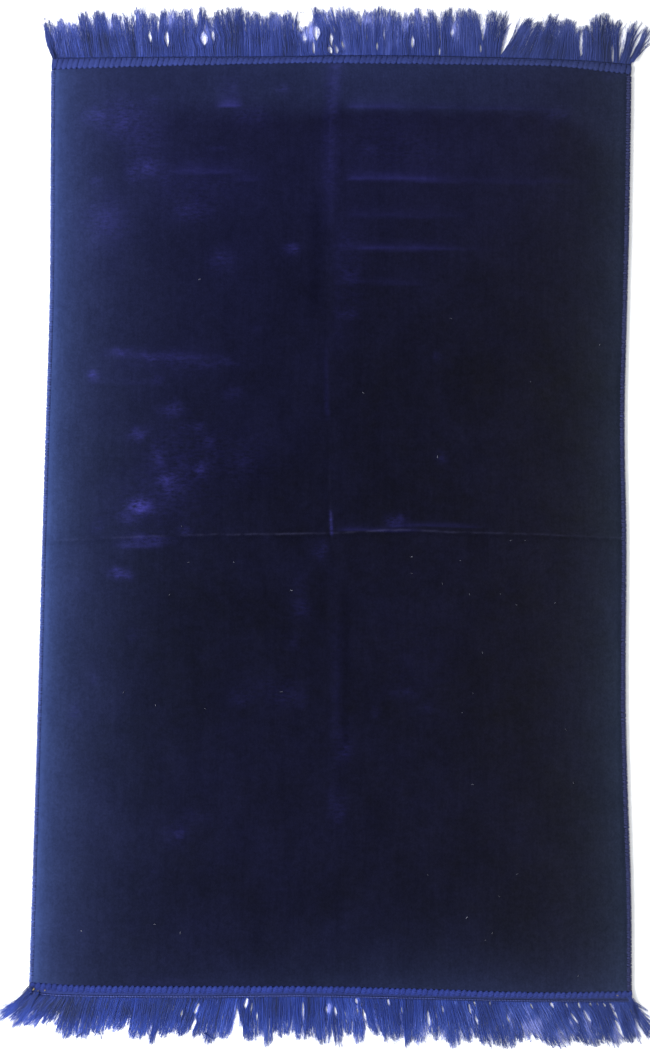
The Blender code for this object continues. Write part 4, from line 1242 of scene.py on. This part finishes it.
def comb_threads(clumps, start, seam_line, slits, shades, count, wild, loose_share,
                 lift, brighten, seed):
    """Paths of the threads in one layer of a fringe, and the tone of each of their points."""
    rng = np.random.default_rng(seed)
    gathered = gather_threads(rng, clumps, start, count, wild, loose_share)
    root, clump, lock, loose, joined, parting, length, lock_bow = gathered
    t = THREAD_STEPS
    leaned = np.clip((t - 0.06) / 0.94, 0.0, 1.0)
    out = TAPE_INSIDE + (length[:, None] - TAPE_INSIDE) * t
    x = root[:, None] + (joined - root)[:, None] * leaned + parting[:, None] * leaned ** 4
    x += lock_bow[:, None] * 4.0 * leaned * (1.0 - leaned)
    waves = 0.7 + 1.3 * rng.random((count, 1))
    swing = wild * SWING * rng.normal(0.0, 1.0, (count, 1))
    x += swing * np.sin(2.0 * math.pi * (waves * t + rng.random((count, 1)))) * leaned
    x += wild * JITTER * rng.normal(0.0, 1.0, (count, THREAD_POINTS)) * leaned
    x = open_slits(x, out, slits)
    hook = wild * rng.normal(0.0, 1.0, (count, 1))
    x += HOOK * hook * leaned ** 4
    x += wild * TIP_JITTER * rng.normal(0.0, 1.0, (count, THREAD_POINTS)) * leaned ** 4
    reached = out - 1.2 * np.abs(hook) * leaned ** 4
    y = smooth_read(seam_line, root)[:, None] + outward_of(seam_line) * reached
    level = rng.random((count, 1))
    arch = 1.25 + 0.9 * np.sin(math.pi * np.clip(1.3 * t, 0.0, 1.0))
    z = 0.35 + lift * level * arch * (1.0 - 0.5 * t)
    z += 0.12 * rng.random((count, THREAD_POINTS))
    tone = 0.35 + 0.11 * rng.uniform(-1.0, 1.0, MOST_CLUMPS)[clump]
    tone += 0.11 * rng.uniform(-1.0, 1.0, MOST_LOCKS)[lock]
    # Painted light: threads that lie higher get a paler tone, and lower ones a darker tone, as painted shade
    # under the threads above.
    tone += 0.09 * rng.uniform(-1.0, 1.0, count) + 0.12 * (level[:, 0] - 0.5) + 0.06 * loose
    tone += 0.09 * hills(root, 0.0 * root, 23.0, seed) + brighten * root / HALF_WIDTH
    return np.stack([x, y, z], axis=2), tone[:, None] + shaded(x, out, shades)


# %% The finish of the fringe
LILAC_PAINTED_GLARE = (0.25, 0.29, 0.70, 1.0)


def thread_finish(name, deep_colour, royal_colour, pale_colour):
    """Soft fine threads: dark, royal and pale ones side by side, painted paler and lilac towards the tips as
    glare.
    """
    material, tree, shader = new_cloth(name, 0.8, 0.15, (0.5, 0.6, 1.0))
    where = put(tree, "TexCoord").outputs["Object"]
    faded = place_group(tree, cloudy, {
        "Vector": where, "Patches per metre": 60.0, "Long way": 0.50, "Depth": 0.55})
    # Painted glare: the tone rises towards the tips, up to pale lilac.
    tips = reckon(tree, "POWER", read_mask(tree, "along"), 3.0)
    tone = reckon(tree, "MULTIPLY_ADD", tips, 0.34, read_mask(tree, "tone"))
    tone = reckon(tree, "MULTIPLY", tone, faded.outputs["Shade"])
    shades = put(tree, "ValToRGB", {"Fac": tone})
    stops = shades.color_ramp.elements
    stops[0].position = 0.12
    stops[0].color = deep_colour
    stops[1].color = LILAC_PAINTED_GLARE
    stops.new(0.48).color = royal_colour
    stops.new(0.84).color = pale_colour
    tree.links.new(greyed_towards_right(tree, where, shades.outputs["Color"]), shader.inputs["Base Color"])
    return material


far_threads = thread_finish("fringe_threads_far", (0.012, 0.018, 0.070, 1.0),
                            (0.024, 0.042, 0.215, 1.0), (0.070, 0.100, 0.370, 1.0))
near_threads = thread_finish("fringe_threads_near", (0.008, 0.014, 0.058, 1.0),
                             (0.014, 0.034, 0.222, 1.0), (0.050, 0.092, 0.400, 1.0))
# Single fibres let the light through, and look paler than a lock of them.
far_wisps = thread_finish("fringe_wisps_far", (0.045, 0.062, 0.260, 1.0),
                          (0.110, 0.135, 0.500, 1.0), (0.260, 0.300, 0.800, 1.0))
near_wisps = thread_finish("fringe_wisps_near", (0.030, 0.050, 0.260, 1.0),
                           (0.080, 0.120, 0.560, 1.0), (0.240, 0.300, 0.850, 1.0))


# %% Build the fringes
# The layers of a fringe: name, threads, wildness, share of loose threads, how high they lie, how far
# the slits open in them, thickness.
LAYERS = (
    ("_threads_low", 2250, 1.0, 0.40, 1.0, 1.0, 0.40),
    ("_threads_top", 2100, 1.1, 0.15, 1.0, 1.0, 0.37),
    ("_wisps", 1500, 2.4, 0.45, 0.5, 0.25, 0.17))
TAPE_LINE = ((0.0, 1.0), (0.3, 1.5), (1.0, 1.5), (1.7, 0.6))   # across the tape: way out, height


def finish_threads(name, paths, radius, tone, material, node, seed):
    """Makes one piece from the paths of many threads, thinner towards their tips."""
    rng = np.random.default_rng(seed)
    count, points = paths.shape[:2]
    taper = 1.0 - 0.45 * np.linspace(0.0, 1.0, points) ** 2
    radii = radius * (0.8 + 0.4 * rng.random((count, 1))) * taper
    paths[:, :, 2] = np.maximum(paths[:, :, 2], radii + 0.02)
    mesh = joined_tubes(name, paths, radii, THREAD_SIDES)
    by_point = np.broadcast_to(tone.reshape(count, -1), (count, points))
    paint(mesh, "tone", np.repeat(by_point, THREAD_SIDES))
    add_piece(name, mesh, (material,), node)


def build_fringe(node, clumps, start, seam_line, slits, shades, wild, brighten, finishes, seed):
    """One end's fringe: its tape, two layers of threads and the wisps."""
    outward = outward_of(seam_line)
    tape_line = np.array(TAPE_LINE if outward > 0.0 else TAPE_LINE[::-1])

    def place_tape(x, number):
        out, high = tape_line[number.astype(int)].T
        return x, smooth_read(seam_line, x) + outward * (PART_GAP + out), high

    columns = spaced((seam_line[0][0], seam_line[-1][0]), 6.0)
    tape = finish_mesh(lay_grid(columns, np.arange(float(len(tape_line))), place_tape), node + "_tape")
    paint(tape, "tone", np.full(len(tape.vertices), 0.35))
    add_piece(node + "_tape", tape, (band_yarn, band_yarn), node)
    for step, (name, count, wilder, loose_share, lift, edge_light_and_slit_opening, radius) in enumerate(LAYERS):
        layer_slits = [(*row[:4], edge_light_and_slit_opening * row[4]) for row in slits]
        paths, tone = comb_threads(clumps, start, seam_line, layer_slits, shades, count,
                                   wild * wilder, loose_share, lift, brighten, seed + step)
        finish = finishes[1] if name == "_wisps" else finishes[0]
        finish_threads(node + name, paths, radius, tone, finish, node, seed + step + 500)


build_fringe("fringe_far", FAR_FRINGE, FAR_FRINGE_FROM, FAR_SEAM, FAR_SLITS,
             FAR_SHADES, 0.90, 0.03, (far_threads, far_wisps), 81)
build_fringe("fringe_near", NEAR_FRINGE, NEAR_FRINGE_FROM, NEAR_SEAM, NEAR_SLITS,
             NEAR_SHADES, 0.60, 0.14, (near_threads, near_wisps), 91)

# %% [markdown]
# At the four corners the last threads splay out over the end of the heading, and here and there a single
# thread has strayed. These are placed one by one, from the photograph.

# %% Corner tufts and strays: root X and Y, tip X and Y, bow, threads, spread at root, spread at tip
FAR_STRAYS = (
    (-350, 559, -362, 604, 2.0, 40, 3.0, 4.0), (-361, 604, -363, 610, 0.0, 5, 1.0, 1.0),
    (356, 562, 374, 606, -2.0, 40, 4.0, 6.0), (325, 601, 325, 624, 0.0, 5, 2.0, 1.0),
    (-55, 603, -54, 623, 0.0, 8, 2.0, 3.0), (-50, 617, -44, 618, 1.0, 3, 1.0, 1.0))
NEAR_STRAYS = (
    (-350, -557, -381, -590, 0.0, 80, 6.0, 10.0), (-342, -562, -364, -600, 0.0, 70, 5.0, 10.0),
    (353, -561, 368, -590, 2.0, 20, 4.0, 8.0), (352, -563, 376, -612, -3.0, 14, 4.0, 4.0),
    (353, -565, 374, -576, 1.0, 8, 4.0, 3.0), (350, -558, 360, -580, 1.0, 30, 5.0, 6.0),
    (-269, -606, -266, -617, 1.0, 6, 2.0, 2.0), (-295, -613, -283, -607, 2.0, 4, 1.0, 3.0),
    (-145, -605, -134, -614, -1.0, 5, 2.0, 2.0))


STRAY_RADIUS = 0.28


def build_strays(name, rows, material, node, seed):
    """The corner tufts and single strays of one fringe, as one piece."""
    rng = np.random.default_rng(seed)
    t = THREAD_STEPS[:, None]
    paths = []
    for root_x, root_y, tip_x, tip_y, bow, count, root_spread, tip_spread in rows:
        line = np.array((tip_x - root_x, tip_y - root_y), float)
        sideways = np.array((-line[1], line[0])) / np.linalg.norm(line)
        for _ in range(count):
            start = np.array((root_x, root_y)) + root_spread * rng.uniform(-0.5, 0.5, 2)
            stop = np.array((tip_x, tip_y)) + tip_spread * rng.uniform(-0.5, 0.5, 2)
            stop = start + (stop - start) * rng.uniform(0.75, 1.0)
            bent = bow + 0.8 * rng.normal()
            flat = start + (stop - start) * t + bent * sideways * np.sin(math.pi * t)
            flat = flat + 0.12 * rng.normal(0.0, 1.0, flat.shape)
            high = 0.5 + (3.3 + 0.5 * rng.random()) * (1.0 - t) ** 1.5 + 0.3 * rng.random()
            paths.append(np.column_stack([flat, high]))
    paths = np.array(paths)
    tone = 0.36 + 0.22 * rng.uniform(-1.0, 1.0, len(paths)) + 0.14 * paths[:, 0, 0] / HALF_WIDTH
    finish_threads(name, paths, STRAY_RADIUS, tone, material, node, seed + 1)


build_strays("fringe_far_strays", FAR_STRAYS, far_threads, "fringe_far", 111)
build_strays("fringe_near_strays", NEAR_STRAYS, near_threads, "fringe_near", 113)

# %% [markdown]
# ## Lint and stray yarn
# A dark velvet keeps every bit of lint. The specks sit on the tips of the pile, about where they were
# seen, as short bent threads, some bright and most of them faint. Four bits of tan yarn are caught in the
# near heading.

# %% Lint
LINT = (
    (-167, 286), (-183, -13), (32, 150), (316, 212), (233, 166), (122, 74), (137, 242),
    (-210, -226), (-61, -208), (-196, -95), (-174, -56), (-248, -211), (-151, -229),
    (-120, -55), (-51, -88), (92, -46), (92, -66), (150, -50), (161, -90), (198, -89),
    (217, -102), (263, -99), (166, -207), (153, -230), (276, -249), (177, -159),
    (210, -25), (227, -25), (129, -78), (-176, -491), (-292, -490), (-206, -481),
    (166, -314), (190, -487), (182, -495), (291, -535), (198, -444), (160, -469),
    (219, -418), (285, -311), (114, -420))
# Bits of tan yarn: X, Y, half length.
TAN_BITS = ((-346, -558, 1.6), (-333, -559, 0.9), (-341, -560, 0.8), (337, -557, 1.0))


LINT_POINTS = 7


def short_threads(name, places, sizes, radius, lift, material, node, seed):
    """Short bent threads at listed spots, as one piece."""
    rng = np.random.default_rng(seed)
    places = np.array(places, float)
    count = len(places)
    t = np.linspace(-1.0, 1.0, LINT_POINTS)
    angle = rng.uniform(0.0, math.pi, (count, 1))
    bend = rng.uniform(-0.7, 0.7, (count, 1))
    turn_by = angle + bend * t
    x = places[:, :1] + sizes[:, None] * t * np.cos(turn_by)
    y = places[:, 1:2] + sizes[:, None] * t * np.sin(turn_by)
    z = lift(x, y) + radius * (0.6 + np.abs(t))
    radii = radius * (1.0 - 0.5 * t ** 2) * np.ones((count, 1))
    mesh = joined_tubes(name, np.stack([x, y, z], axis=2), radii, YARN_SIDES)
    paint(mesh, "tone", per_tube(0.12 + 0.88 * rng.random(count) ** 2, LINT_POINTS, YARN_SIDES))
    add_piece(name, mesh, (material,), node)


lint_fibre = yarn_finish("lint_fibre", (0.030, 0.031, 0.050, 1.0), (0.210, 0.215, 0.270, 1.0), 900.0, 0.0)
tan_fibre = yarn_finish("tan_fibre", (0.180, 0.130, 0.030, 1.0), (0.500, 0.400, 0.120, 1.0), 900.0, 0.0)
lint_sizes = np.random.default_rng(101).uniform(0.7, 1.8, len(LINT))
short_threads("pile_panel_lint", LINT, lint_sizes, 0.30,
              lambda x, y: pile_top(x, y, np.full_like(x, 20.0)), lint_fibre, "pile_panel", 102)
tan_places, tan_sizes = np.split(np.array(TAN_BITS), [2], axis=1)
short_threads("heading_near_tan_bits", tan_places, tan_sizes[:, 0], 0.55,
              lambda x, y: np.full_like(x, 3.2), tan_fibre, "heading_near", 103)
